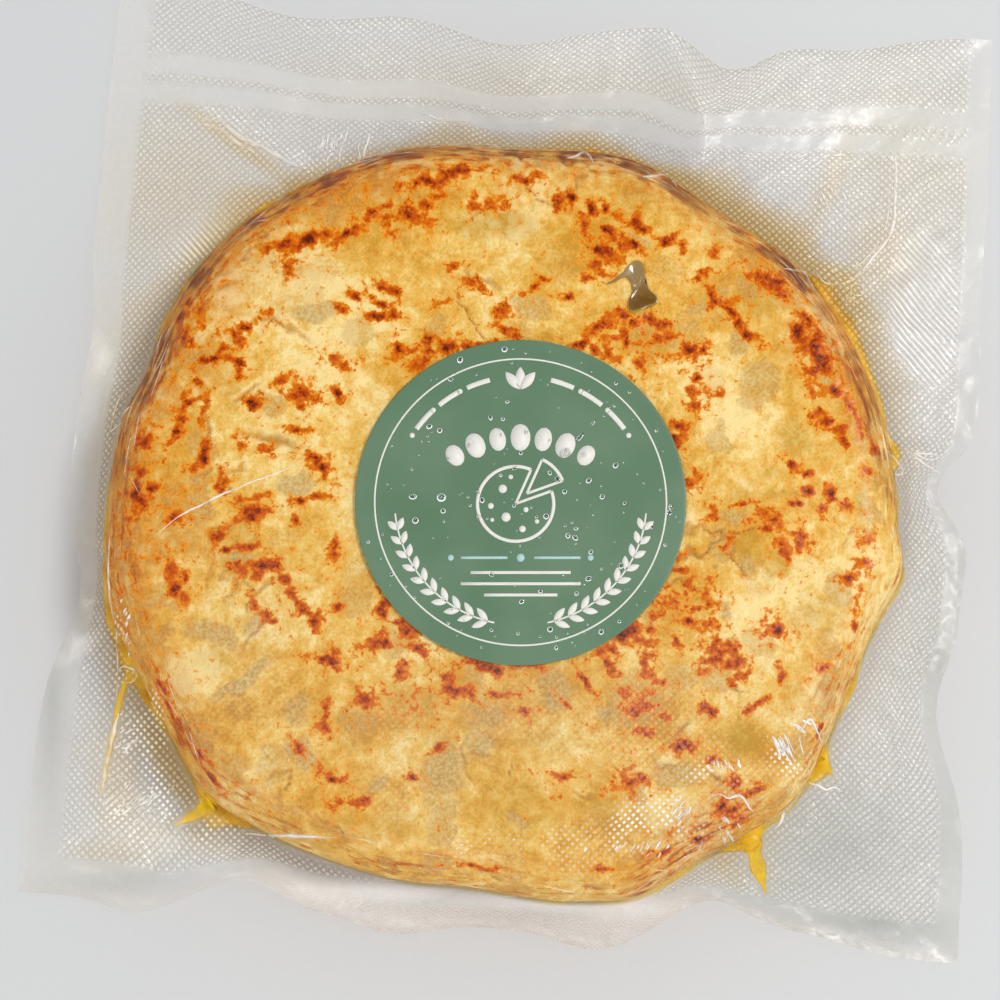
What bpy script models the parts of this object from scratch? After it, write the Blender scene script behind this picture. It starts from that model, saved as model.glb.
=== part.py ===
"""A vacuum-packed Spanish omelette: a thick round omelette shut in a clear bag, with a round paper label.

The pack lies flat on its underside, with +Z up and the origin under the middle of its outline.
The bag and the omelette are one closed body, drawn as rings that run from the middle of the top,
over the omelette's rim, out along the skirt of film to the bag's edge, and back underneath.
"""

import math

import bmesh
import bpy
import numpy as np

MM = 0.001

# The bag as it lies, seen from above, and its turn about the upright axis
PACK_WIDTH = 287.5 * MM
PACK_LENGTH = 298.7 * MM
PACK_TURN = math.radians(-4.33)
SKIRT_THICKNESS = 0.8 * MM
CORNER_HEIGHT = 2.0 * MM
EDGE_HEIGHT = 5.0 * MM
LIFT_PER_PULL = 0.35

# The omelette: its middle, its mean radius and its height
OMELETTE_CENTRE = (-6.5 * MM, -22.2 * MM)
OMELETTE_RADIUS = 122.5 * MM
OMELETTE_HEIGHT = 35.0 * MM
DOME_DROP = 1.6 * MM
SHOULDER_WIDTH = 16.0 * MM
FOOT_WIDTH = 9.0 * MM
SHOULDER_POWER = 0.86
SKIRT_START_HEIGHT = 12.5 * MM
LUMP_HEIGHT = 0.55 * MM

# The round label on top, and the flat patch of omelette under it
LABEL_CENTRE = (-1.0 * MM, -22.6 * MM)
LABEL_RADIUS = 50.0 * MM
LABEL_THICKNESS = 0.5 * MM
LABEL_GAP = 0.3 * MM
LABEL_SIDES = 72
FLAT_RADIUS = 53.0 * MM
FLAT_FADE = 16.0 * MM

# Where the omelette's outline leaves the circle: (angle in degrees, height in mm, half width in degrees)
RIM_BUMPS = (
    (55, -4.5, 11), (88, -5.0, 14), (135, 1.8, 10), (158, -2.0, 6), (-167, 2.0, 8),
    (-136, 3.0, 7), (-95, -6.5, 12), (-71, 2.5, 6), (-46, 3.5, 8), (-9, 3.0, 5),
)

# Where each edge of the bag is drawn in: (place along the edge in mm, depth in mm, half width in mm)
RIGHT_PULLS = ((-74, 12.5, 24), (-35, 3.0, 14), (-4, 13.0, 13), (60, 1.0, 50))
TOP_PULLS = ((58, 21.0, 16), (95, 13.0, 28), (24, 5.0, 20), (-14, 17.0, 28), (-82, 15.0, 36))
LEFT_PULLS = ((0, 2.0, 110), (30, 2.5, 14), (-58, 9.5, 20))
BOTTOM_PULLS = (
    (-109, -6.0, 12), (-76, 10.5, 16), (-28, -4.0, 14), (33, -4.5, 14), (68, 14.5, 17), (98, 7.0, 20),
)

# How many steps each side of the bag gets, and how many rings each part of the section gets
SIDE_STEPS = (31, 28, 33, 36)
FACE_RINGS = 7
SHOULDER_RINGS = 8
SKIRT_RINGS = 6
FOOT_RINGS = 6
BASE_RINGS = 2


def clear_scene():
    """Remove every object that the scene starts with."""
    for item in list(bpy.data.objects):
        bpy.data.objects.remove(item, do_unlink=True)


def make_collection(name):
    """Return a new collection in the scene."""
    collection = bpy.data.collections.new(name)
    bpy.context.scene.collection.children.link(collection)
    return collection


def make_material(name, colour, roughness):
    """Return a Principled material of one colour."""
    material = bpy.data.materials.new(name)
    material.use_nodes = True
    shader = material.node_tree.nodes["Principled BSDF"]
    shader.inputs["Base Color"].default_value = (*colour, 1.0)
    shader.inputs["Roughness"].default_value = roughness
    shader.inputs["Metallic"].default_value = 0.0
    material.diffuse_color = (*colour, 1.0)
    return material


def turned(u, v):
    """Turn a point of the bag's own frame into the pack's frame."""
    return (
        u * math.cos(PACK_TURN) - v * math.sin(PACK_TURN),
        u * math.sin(PACK_TURN) + v * math.cos(PACK_TURN),
    )


def sum_of_bumps(place, bumps, scale, wrap=False):
    """Add up bell curves: each has a middle, a height and a half width."""
    total = 0.0
    for middle, height, half_width in bumps:
        distance = place - middle
        if wrap:
            distance = (distance + 180.0) % 360.0 - 180.0
        total += height * scale * math.exp(-((distance / half_width) ** 2))
    return total


def rim_radius(angle):
    """The omelette's outline: a circle with a few shallow dents and swellings."""
    return OMELETTE_RADIUS + sum_of_bumps(math.degrees(angle), RIM_BUMPS, MM, wrap=True)


def bag_sides():
    """The bag's four sides, anticlockwise: start corner, end corner, inward direction, pulls, their sign."""
    half_u = PACK_WIDTH / 2
    half_v = PACK_LENGTH / 2
    return (
        ((half_u, -half_v), (half_u, half_v), (-1, 0), RIGHT_PULLS, 1),
        ((half_u, half_v), (-half_u, half_v), (0, -1), TOP_PULLS, -1),
        ((-half_u, half_v), (-half_u, -half_v), (1, 0), LEFT_PULLS, -1),
        ((-half_u, -half_v), (half_u, -half_v), (0, 1), BOTTOM_PULLS, 1),
    )


def edge_point(start, end, inward, pulls, sign, share):
    """A point on one side of the bag, and its height: the further in it is drawn, the higher it stands."""
    length = math.dist(start, end)
    along = sign * (share - 0.5) * length
    corner_fade = math.sin(math.pi * share) ** 0.5
    pull = sum_of_bumps(along / MM, pulls, MM) * corner_fade
    u = start[0] + (end[0] - start[0]) * share + inward[0] * pull
    v = start[1] + (end[1] - start[1]) * share + inward[1] * pull
    height = CORNER_HEIGHT + (EDGE_HEIGHT - CORNER_HEIGHT) * corner_fade + LIFT_PER_PULL * pull
    return turned(u, v), height


def share_at_angle(start, end, angle):
    """How far along a side a ray from the omelette's middle meets it."""
    a = np.array(turned(*start)) - OMELETTE_CENTRE
    b = np.array(turned(*end)) - OMELETTE_CENTRE
    ray = np.array((math.cos(angle), math.sin(angle)))
    cross_a = a[0] * ray[1] - a[1] * ray[0]
    cross_b = b[0] * ray[1] - b[1] * ray[0]
    return cross_a / (cross_a - cross_b)


def rays():
    """Each meridian of the pack: its direction from the omelette's middle, its edge point and that height.

    The rays are spread evenly in angle within each side, and the first of each side meets a corner.
    """
    result = []
    for side, steps in zip(bag_sides(), SIDE_STEPS):
        start, end, inward, pulls, sign = side
        first = np.array(turned(*start)) - OMELETTE_CENTRE
        last = np.array(turned(*end)) - OMELETTE_CENTRE
        first_angle = math.atan2(first[1], first[0])
        sweep = (math.atan2(last[1], last[0]) - first_angle) % (2 * math.pi)
        for step in range(steps):
            angle = first_angle + sweep * step / steps
            share = min(max(share_at_angle(start, end, angle), 0.0), 1.0)
            point, height = edge_point(start, end, inward, pulls, sign, share)
            result.append((angle, point, height))
    return result


def face_height(x, y):
    """The omelette's top face: low lumps on a slight dome, flat under the label."""
    from_label = math.hypot(x - LABEL_CENTRE[0], y - LABEL_CENTRE[1])
    fade = min(max((from_label - FLAT_RADIUS) / FLAT_FADE, 0.0), 1.0)
    lumps = math.sin(x / (15 * MM) + 1.0) * math.sin(y / (18 * MM) + 0.5)
    ripples = 0.6 * math.sin((x + y) / (9 * MM) + 2.0)
    from_centre = math.hypot(x - OMELETTE_CENTRE[0], y - OMELETTE_CENTRE[1])
    dome = max(from_centre - FLAT_RADIUS, 0.0) / (OMELETTE_RADIUS - FLAT_RADIUS)
    return OMELETTE_HEIGHT + fade * LUMP_HEIGHT * (lumps + ripples) - DOME_DROP * dome ** 2


def along_ray(angle, radius):
    """The point at a radius from the omelette's middle."""
    return (
        OMELETTE_CENTRE[0] + radius * math.cos(angle),
        OMELETTE_CENTRE[1] + radius * math.sin(angle),
    )


def face_point(angle, share):
    """A point on the top face, from the middle to where the shoulder begins."""
    radius = (rim_radius(angle) - SHOULDER_WIDTH) * share ** 0.8
    x, y = along_ray(angle, radius)
    return x, y, face_height(x, y)


def shoulder_point(angle, share):
    """A point on the rounded shoulder, a superellipse from the top face to where the skirt begins."""
    turn = share * math.pi / 2
    radius = rim_radius(angle) - SHOULDER_WIDTH * (1 - math.sin(turn) ** SHOULDER_POWER)
    x, y = along_ray(angle, rim_radius(angle) - SHOULDER_WIDTH)
    drop = (face_height(x, y) - SKIRT_START_HEIGHT) * (1 - math.cos(turn) ** SHOULDER_POWER)
    top = face_height(x, y) - drop
    x, y = along_ray(angle, radius)
    return x, y, top


def skirt_point(angle, edge, edge_height, share):
    """A point on the skirt's top: it falls quickly by the omelette, then runs out to the edge."""
    x, y = along_ray(angle, rim_radius(angle))
    fall = (1 - share) ** 1.7
    height = edge_height + (SKIRT_START_HEIGHT - edge_height) * fall
    return x + (edge[0] - x) * share, y + (edge[1] - y) * share, height


def foot_point(angle, share):
    """A point on the rounded foot, from the skirt's underside down to the flat base."""
    turn = share * math.pi / 2
    radius = rim_radius(angle) - FOOT_WIDTH * (1 - math.cos(turn))
    height = (SKIRT_START_HEIGHT - SKIRT_THICKNESS) * (1 - math.sin(turn))
    x, y = along_ray(angle, radius)
    return x, y, height


def base_point(angle, share):
    """A point on the flat base, from the foot in to the middle."""
    x, y = along_ray(angle, (rim_radius(angle) - FOOT_WIDTH) * (1 - share))
    return x, y, 0.0


def section(angle, edge, edge_height):
    """The points of one meridian, from the middle of the top to the middle of the base."""
    points = [face_point(angle, step / FACE_RINGS) for step in range(FACE_RINGS)]
    points += [shoulder_point(angle, step / SHOULDER_RINGS) for step in range(SHOULDER_RINGS)]
    outward = [step / SKIRT_RINGS for step in range(SKIRT_RINGS + 1)]
    skirt = [skirt_point(angle, edge, edge_height, share) for share in outward]
    points += skirt
    points += [(x, y, z - SKIRT_THICKNESS) for x, y, z in reversed(skirt)]
    points += [foot_point(angle, (step + 1) / FOOT_RINGS) for step in range(FOOT_RINGS)]
    points += [base_point(angle, (step + 1) / BASE_RINGS) for step in range(BASE_RINGS)]
    return points


def build_sealed_bag(collection):
    """Make the bag and the omelette: a sphere's rings and meridians are moved onto the pack's sections."""
    meridians = rays()
    sections = [section(angle, edge, height) for angle, edge, height in meridians]
    rings = len(sections[0]) - 1
    mesh = bpy.data.meshes.new("sealed_bag")
    body = bmesh.new()
    bmesh.ops.create_uvsphere(body, u_segments=len(meridians), v_segments=rings, radius=1.0)
    for vertex in body.verts:
        x, y, z = vertex.co
        ring = round(math.acos(max(-1.0, min(1.0, z))) / math.pi * rings)
        meridian = round(math.atan2(y, x) / (2 * math.pi) * len(meridians)) % len(meridians)
        vertex.co = sections[meridian][ring]
    bmesh.ops.triangulate(body, faces=body.faces)
    bmesh.ops.recalc_face_normals(body, faces=body.faces)
    body.to_mesh(mesh)
    body.free()
    mesh.shade_smooth()
    bag = bpy.data.objects.new("sealed_bag", mesh)
    mesh.materials.append(make_material("omelette in clear film", (0.84, 0.62, 0.26), 0.3))
    collection.objects.link(bag)
    return bag


def build_round_label(collection):
    """Make the label: a thin paper disc just clear of the film."""
    mesh = bpy.data.meshes.new("round_label")
    disc = bmesh.new()
    bmesh.ops.create_cone(
        disc, cap_ends=True, segments=LABEL_SIDES,
        radius1=LABEL_RADIUS, radius2=LABEL_RADIUS, depth=LABEL_THICKNESS,
    )
    disc.to_mesh(mesh)
    disc.free()
    label = bpy.data.objects.new("round_label", mesh)
    label.location = (*LABEL_CENTRE, OMELETTE_HEIGHT + LABEL_GAP + LABEL_THICKNESS / 2)
    mesh.materials.append(make_material("green label paper", (0.19, 0.30, 0.20), 0.5))
    collection.objects.link(label)
    return label


def main():
    """Build the whole pack."""
    clear_scene()
    pack = make_collection("vacuum_packed_omelette")
    build_sealed_bag(pack)
    build_round_label(pack)


main()
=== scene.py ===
"""The looks of the vacuum-packed omelette: the omelette itself, its juice, the clear film and the label.

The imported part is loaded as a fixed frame. Every size here is in millimetres until a mesh is made.
"""

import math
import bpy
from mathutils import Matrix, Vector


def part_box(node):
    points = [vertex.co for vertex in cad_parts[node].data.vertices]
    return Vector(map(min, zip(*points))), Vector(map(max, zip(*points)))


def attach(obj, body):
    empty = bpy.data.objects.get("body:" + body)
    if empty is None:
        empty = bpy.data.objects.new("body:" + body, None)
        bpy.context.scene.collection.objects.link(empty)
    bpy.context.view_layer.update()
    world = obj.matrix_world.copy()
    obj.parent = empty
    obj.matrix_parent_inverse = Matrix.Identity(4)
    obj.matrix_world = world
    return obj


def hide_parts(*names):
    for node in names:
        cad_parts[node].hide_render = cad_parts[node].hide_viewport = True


bl_info = {
    "name": "Vacuum-packed omelette",
    "version": (1, 0, 0),
    "blender": (4, 5, 0),
    "location": "View3D > Sidebar > Omelette",
    "description": "Builds a round potato omelette sealed in clear embossed film, with a paper label",
    "category": "Object",
}

import bpy
import numpy as np

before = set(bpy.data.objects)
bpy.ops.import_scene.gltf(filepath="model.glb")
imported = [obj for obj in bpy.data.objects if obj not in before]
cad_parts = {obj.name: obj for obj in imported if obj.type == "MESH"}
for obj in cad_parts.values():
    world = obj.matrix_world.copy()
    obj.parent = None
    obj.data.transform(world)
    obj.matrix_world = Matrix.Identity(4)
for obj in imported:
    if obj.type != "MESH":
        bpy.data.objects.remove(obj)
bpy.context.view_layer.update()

MM = 0.001

# The bag as it lies, as in the solids
PACK_WIDTH = 287.5
PACK_LENGTH = 298.7
PACK_TURN = math.radians(-4.33)
CORNER_HEIGHT = 2.0
EDGE_HEIGHT = 5.0
LIFT_PER_PULL = 0.35
RIGHT_PULLS = ((-74, 12.5, 24), (-35, 3.0, 14), (-4, 13.0, 13), (60, 1.0, 50))
TOP_PULLS = ((58, 21.0, 16), (95, 13.0, 28), (24, 5.0, 20), (-14, 17.0, 28), (-82, 15.0, 36))
LEFT_PULLS = ((0, 2.0, 110), (30, 2.5, 14), (-58, 9.5, 20))
BOTTOM_PULLS = (
    (-109, -6.0, 12), (-76, 10.5, 16), (-28, -4.0, 14), (33, -4.5, 14), (68, 14.5, 17), (98, 7.0, 20),
)

# The omelette, as in the solids, but for two shallow dents more in its rim
OMELETTE_CENTRE = np.array((-6.5, -22.2))
OMELETTE_RADIUS = 122.5
OMELETTE_HEIGHT = 35.0
DOME_DROP = 1.6
SHOULDER_WIDTH = 16.0
SHOULDER_LENGTH = 30.0
SHOULDER_POWER = 0.86
FOOT_WIDTH = 9.0
FOOT_LENGTH = 15.0
SKIRT_START_HEIGHT = 12.5
LUMP_HEIGHT = 0.55
RIM_BUMPS = (
    (55, -4.5, 11), (88, -5.0, 14), (135, 1.8, 10), (158, -2.0, 6), (-167, 2.0, 8), (-136, 3.0, 7),
    (-95, -6.5, 12), (-71, 2.5, 6), (-46, 3.5, 8), (-9, 3.0, 5), (-24, -3.0, 11), (-113, -3.2, 11),
)
FLAT_RADIUS = 53.0
FLAT_FADE = 16.0

# The label's place and size come from its solid
label_low, label_high = (np.array(corner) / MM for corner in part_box("round_label"))
LABEL_CENTRE = (label_low[:2] + label_high[:2]) / 2
LABEL_RADIUS = (label_high[0] - label_low[0]) / 2

# How far the omelette stays inside the film, and how far the two films stay apart
FILM_CLEARANCE = 0.3
FILM_GAP = 0.35
CAVITY_DEPTH = 5.0
CAVITY_REACH = 3.2
FLOOR_CLEARANCE = 0.1

# Rings and meridians of the two big skins, and where on the crown the label's edge and the first ring lie
LABEL_SHARE = 0.42
FIRST_RING_SHARE = 0.03
OMELETTE_MERIDIANS = 720
OMELETTE_RINGS = {"under label": 5, "face": 86, "shoulder": 34, "foot": 8, "base": 3}
FILM_SIDE_STEPS = (136, 122, 145, 157)
FILM_RINGS = {"under label": 5, "face": 40, "shoulder": 26, "skirt": 60, "back": 22, "foot": 7, "base": 3}

# Browned marks: (x, y, half length, half width, turn in degrees, strength), grouped round the label
BROWNED_FAR_LEFT = (
    (-73, 58, 3, 2.2, 20, 1), (-66, 61, 4, 1.6, 20, 1), (-60, 62, 3, 1.4, -10, .9),
    (-80, 57, 2, 1.2, 30, .8), (-72, 51, 1.2, 2.4, 0, .6), (-79, 36, 1.6, 1.1, 0, .9),
    (-85, 32, 2.6, 1.2, 20, .9), (-88, 29, 2.5, 1.6, -30, 1), (-92, 25, 1.6, 1.5, 0, .9),
    (-103, 28, 2.8, 1.3, -40, .9), (-96, 22, 3, 1, 20, .7), (-88, 21, 3, 1, -35, .9),
    (-106, 37, 1.5, 2.2, 0, .8), (-99, 36, 1.3, 3, 20, .6), (-105, 42, 1.5, 1.5, 0, .6),
    (-58, 22, 2, 1.5, 0, .8), (-53, 62, 4.6, 1.1, 35, 1), (-47, 68, 1.6, 1.5, 0, .9),
    (-44, 70, 5, 1, 10, .6), (-42, 63, .9, 2.6, 0, .8), (-35, 68, 3, 2, -10, .9),
    (-29, 65, 2.6, 2, -20, .7), (-31, 71, 2, 1.5, 0, .9), (-29, 79, 5, 1.5, 10, 1),
    (-20, 81, 5, 1.3, 10, 1), (-27, 74, 3, .9, 10, .9), (-22, 51, 2.2, 1, 20, .7),
    (-42, 44, 3, 1.4, -15, 1), (-52, 41, 2.3, 1.1, -50, .9), (-56, 38, 2.1, 1, 5, .9),
    (-45, 35, 2.3, 1.2, -5, 1), (-44, 39, 2.6, 1, -30, .9), (-40, 36, 2.4, 1.3, -60, .9),
    (-25, 40, 2.2, 1, 0, .9), (-39, 24, 1.6, 2.4, 0, 1), (-30, 26, 1.3, 4, -20, .8),
    (-32, 21, 1.8, 2.6, 20, .9), (-24, 25, 3.2, 2, 25, 1), (-18, 26, 1.6, 1, 0, .9),
    (-13, 26, 3, .8, 10, .7), (-55, 20, 3, 1, 0, .7),
)
BROWNED_FAR_MIDDLE = (
    (-15, 72, 3, 2.4, 0, .6), (-9, 72, 3, 2, 0, .6), (0, 79, 3, 1, 0, .9), (4, 81, 2, 1, 20, .7),
    (11, 72, 1.5, 2, 0, .7), (-16, 46, 2.6, 2, 0, .6), (-13, 45, 1, 2, 20, .8), (-6, 36, 1.9, 1.8, 0, 1),
    (7, 47, 1.4, 1.1, 0, .9), (3, 44, 2.6, 1, 25, .8), (-5, 30, 2.6, 1.2, -15, .9),
    (15, 74, 1.3, 1.6, 0, 1), (12, 73, 2.2, 1.5, 20, .8), (21, 70, 1.1, 1.9, 0, 1),
    (26, 71, 1.1, 1.3, 0, 1), (27, 63, 2.2, 1.5, 0, 1), (19, 65, 2, 3, 0, .7), (31, 67, 2.6, 1, -30, .6),
    (20, 60, 2.2, 1.5, 0, .7), (25, 57, 2.2, 3.2, -30, 1), (30, 59, 3, 1.6, -30, .9),
    (34, 58, 2.6, 1.2, -20, .8), (23, 52, 3, 2, 0, .8), (28, 54, 2.6, 2, 0, .9), (35, 65, 2, 2, 0, .8),
    (38, 63, 2, 1.2, -20, .8), (44, 59, 1.6, 1.2, 0, 1), (47, 61, 2.2, .8, 30, .8), (49, 56, 1, 2, 0, .7),
    (59, 55, 1.1, 2.6, -10, .8), (55, 49, 2.2, .8, 20, .8), (57, 44, .9, 2.6, 10, .9),
    (58, 40, .9, 1.7, -10, .9), (20, 48, 3, 1, -20, .7), (25, 48, 3, 1, 0, .7), (13, 41, 1.7, 1, 0, .8),
)
BROWNED_BY_LABEL = (
    (30, 37, 1.9, 1.7, 0, .9), (26, 35, 1.4, 3, -40, .8), (23, 33, 3.2, 1.2, 45, .9),
    (21, 30, 2.6, 1, 30, .8), (18, 26, 2.6, 1.3, 0, 1), (22, 25, 1.6, 1.2, 0, .9),
    (35, 34, 3.2, 1.2, 10, .9), (39, 35, 1.6, 1.2, 0, .9), (42, 33, 2.4, 1.9, -30, 1),
    (30, 31, 1, 3.6, 0, .9), (27, 29, 3.2, .9, 0, .9), (31, 27, 1, 1.8, 0, .8), (25, 26, 1, 2.6, 0, .8),
    (27, 22, 2.2, 1, -20, .8), (36, 27, 1.6, 1.6, 0, .6), (41, 28, 1, 2, 0, .8), (45, 29, 1.9, 1.2, 0, .8),
    (35, 20, 3, 1, -30, .8), (40, 26, 8, 6, 0, .3), (51, 24, 2.1, 2, 0, .9), (56, 25, 1, 2.6, -10, 1),
    (53, 16, 1.5, 1.2, 0, 1), (52, 11, 1.7, 1.3, 0, .9), (52, 8, 1.9, 2.4, 0, .9),
    (59, 11, 2.2, .8, 15, .8), (47, 0, 1.7, 1.4, 0, 1), (47, -4, 1.9, 2.4, 0, .9),
    (51, -16, 1.9, 1.9, 0, .8), (46, -44, 4, 1.1, -10, .7), (46, -40, 3, 1, 20, .7),
    (51, -47, 4, .9, 10, .7), (44, -54, 7, 5, 0, .45), (42, -52, 3, 1, 20, .7), (38, -58, 3, 1.4, 30, .7),
    (30, -62, 4.4, 2.8, 20, 1), (25, -67, 3.2, 1.3, 30, .9), (35, -65, 3.2, 1.2, -30, .8),
    (38, -61, 1.6, 2, 0, .7), (3, -72, 3.4, .8, 0, .8), (-2, -73, 4, .9, 5, .9), (-9, -73, 3.4, 1.4, -5, 1),
    (-15, -71, 4, 1.3, 5, .9), (-35, -62, 2.8, 2.6, 0, .9), (-38, -60, 2.2, 1, 0, .9),
    (-31, -68, 2.8, 1.1, -30, 1), (-45, -65, 1.6, 2.2, 0, .9), (-42, -66, 1.5, 1.6, 0, .9),
    (-48, -67, 2, 1, 0, .8), (-42, -53, 1.6, 5, 0, .8), (-38, -46, 1.2, 3, 20, .7),
    (-57, -38, 1.3, 3, 0, .8),
)
BROWNED_RIGHT = (
    (64, 40, 2.6, 1.1, 0, .9), (64, 37, 3.2, 1.5, -50, .9), (66, 33, 2.8, 1.3, -40, 1),
    (69, 30, 3, 1.1, -40, 1), (73, 48, 3.2, 1.4, -10, 1), (77, 45, 3.2, 1.6, -25, 1),
    (80, 43, 2.2, 1.2, -40, .8), (86, 35, 2.4, 1.1, -30, .8), (85, 30, 2, 2, 0, .9),
    (88, 26, 2.8, 3.8, 30, 1), (91, 21, 3.2, 2.4, -50, 1), (88, 17, 1.9, 1.6, 0, .9),
    (92, 18, 1.6, 1.6, 0, .9), (95, 12, 2.6, 1.5, 0, .9), (88, 11, 1, 2.6, 0, .7),
    (91, 4, 1.6, 2.2, 40, .9), (94, 0, 3, 1, -15, .9), (100, 7, 1.1, 3.2, 30, .9), (102, 2, 1.2, 3, 15, .9),
    (97, -4, 2.4, 1, -40, .8), (57, -26, 1.7, 2.2, 0, .8), (65, -24, 4, .7, 15, .6),
    (72, -26, 2.2, 1.6, -20, .8), (75, -29, 3.4, 1.6, -10, .8), (73, -31, 2.6, 1.2, -20, .7),
    (69, -29, 2.2, 1, 0, .6), (79, -37, 2.2, 2.6, 0, .9), (84, -35, 1.7, 2.6, 0, .9),
    (82, -32, 2.2, 1, 0, .8), (82, -23, 2.2, .8, 20, 1), (86, -19, 1.9, 1.3, 0, .9),
    (82, -11, 2, 1.1, -20, 1), (85, -13, 3.2, .8, -10, .9), (93, -20, 1.6, 1.7, 0, 1),
    (98, -24, 1.5, 1.7, 0, .8), (91, -25, 1.5, 2, -30, .7), (105, -14, 2, 1.5, 0, .7),
    (109, -5, 1.2, 1.4, 0, 1), (104, -34, 1.7, 2.2, 30, .8), (102, -41, 2, 1.4, 0, .8),
    (100, -44, 1.3, 2.2, 0, .7), (97, -47, 2.2, 1, 10, .9), (101, -53, 1, 4, 0, .7),
    (101, -60, 1.1, 1.6, 0, .8), (75, -62, 2.7, 1.9, -10, 1), (89, -73, 1.9, .9, 25, .9),
    (77, -75, .9, 2.2, 0, .8), (69, -84, 2.6, .8, 20, .9), (92, -93, 2.6, .9, 50, 1),
)
BROWNED_NEAR_SIDE = (
    (56, -53, 2.4, 1.4, 0, .9), (52, -56, 2.2, 1, 20, .8), (50, -60, 3.2, .9, -20, .7),
    (56, -61, 2.2, 1.6, 0, .6), (61, -35, 1.6, 1.6, 30, .7), (57, -66, 1.6, 2.6, -20, 1),
    (60, -67, 2.7, 1.5, -10, .9), (57, -70, 3.2, 1.1, 0, 1), (63, -71, 2.6, 1.6, 0, .9),
    (65, -75, 2.2, 1, 20, .7), (62, -77, 1.6, 1.2, 0, .8), (55, -85, 1.5, 1.6, 0, 1),
    (53, -74, 1.7, 1.4, 30, .9), (46, -66, 3.2, .7, -35, .8), (37, -73, 1.3, 2.7, 10, .9),
    (40, -77, 2, 1, -20, .9), (26, -73, 1.5, 2.2, 30, .9), (18, -77, 3.6, .8, -60, .9),
    (13, -84, 3.2, .6, -45, .7), (33, -85, 2.6, 2.1, 0, .9), (37, -84, 2.1, 1, 0, .8),
    (30, -81, 1.1, 1.6, 0, .9), (36, -81, 2, 1.5, 0, .6), (41, -88, 1.9, .8, 0, .9),
    (35, -92, 2.7, 1.1, 5, .9), (45, -97, 2, .9, 30, .9), (48, -96, 2.6, 1, 0, 1),
    (56, -100, 2, 1.4, 0, .6), (12, -105, 4, .8, -10, .8), (30, -107, 3.2, 2.6, -20, .7),
    (34, -106, 2, 1, -20, .7), (62, -107, 1.9, 2.2, 0, .7), (68, -110, 2.7, 1.1, 30, .7),
    (59, -114, 1.6, 3.2, 0, .9), (62, -117, 3.2, 2.1, -20, .9), (64, -122, 2.7, 1, 10, .8),
    (52, -126, 2, 1.1, 0, .8), (42, -129, 2.2, 1, 0, .8), (24, -133, 2.4, 1, 0, .7),
    (9, -111, 1.6, 1.4, 0, .6), (0, -86, 2, 1.3, 0, .9), (-6, -81, 3, .9, 0, .8),
    (-19, -80, 2.7, 1.6, -10, 1), (-23, -76, 2.4, 1.6, -10, .9), (-22, -79, 1.6, 1.6, 0, .9),
    (-36, -74, 1.6, 2.2, -10, 1), (-48, -83, 2, 2, 0, 1), (-46, -81, 1.1, 1.6, 0, .8),
    (-35, -84, 10, 5, 0, .25), (-25, -97, 2.2, .7, 35, .9), (-33, -106, 2, .9, -30, 1),
    (-50, -113, 2.5, 1.1, -5, 1), (-56, -113, 2, 1.1, -5, .8), (-14, -134, 5, .7, -5, .8),
)
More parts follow.
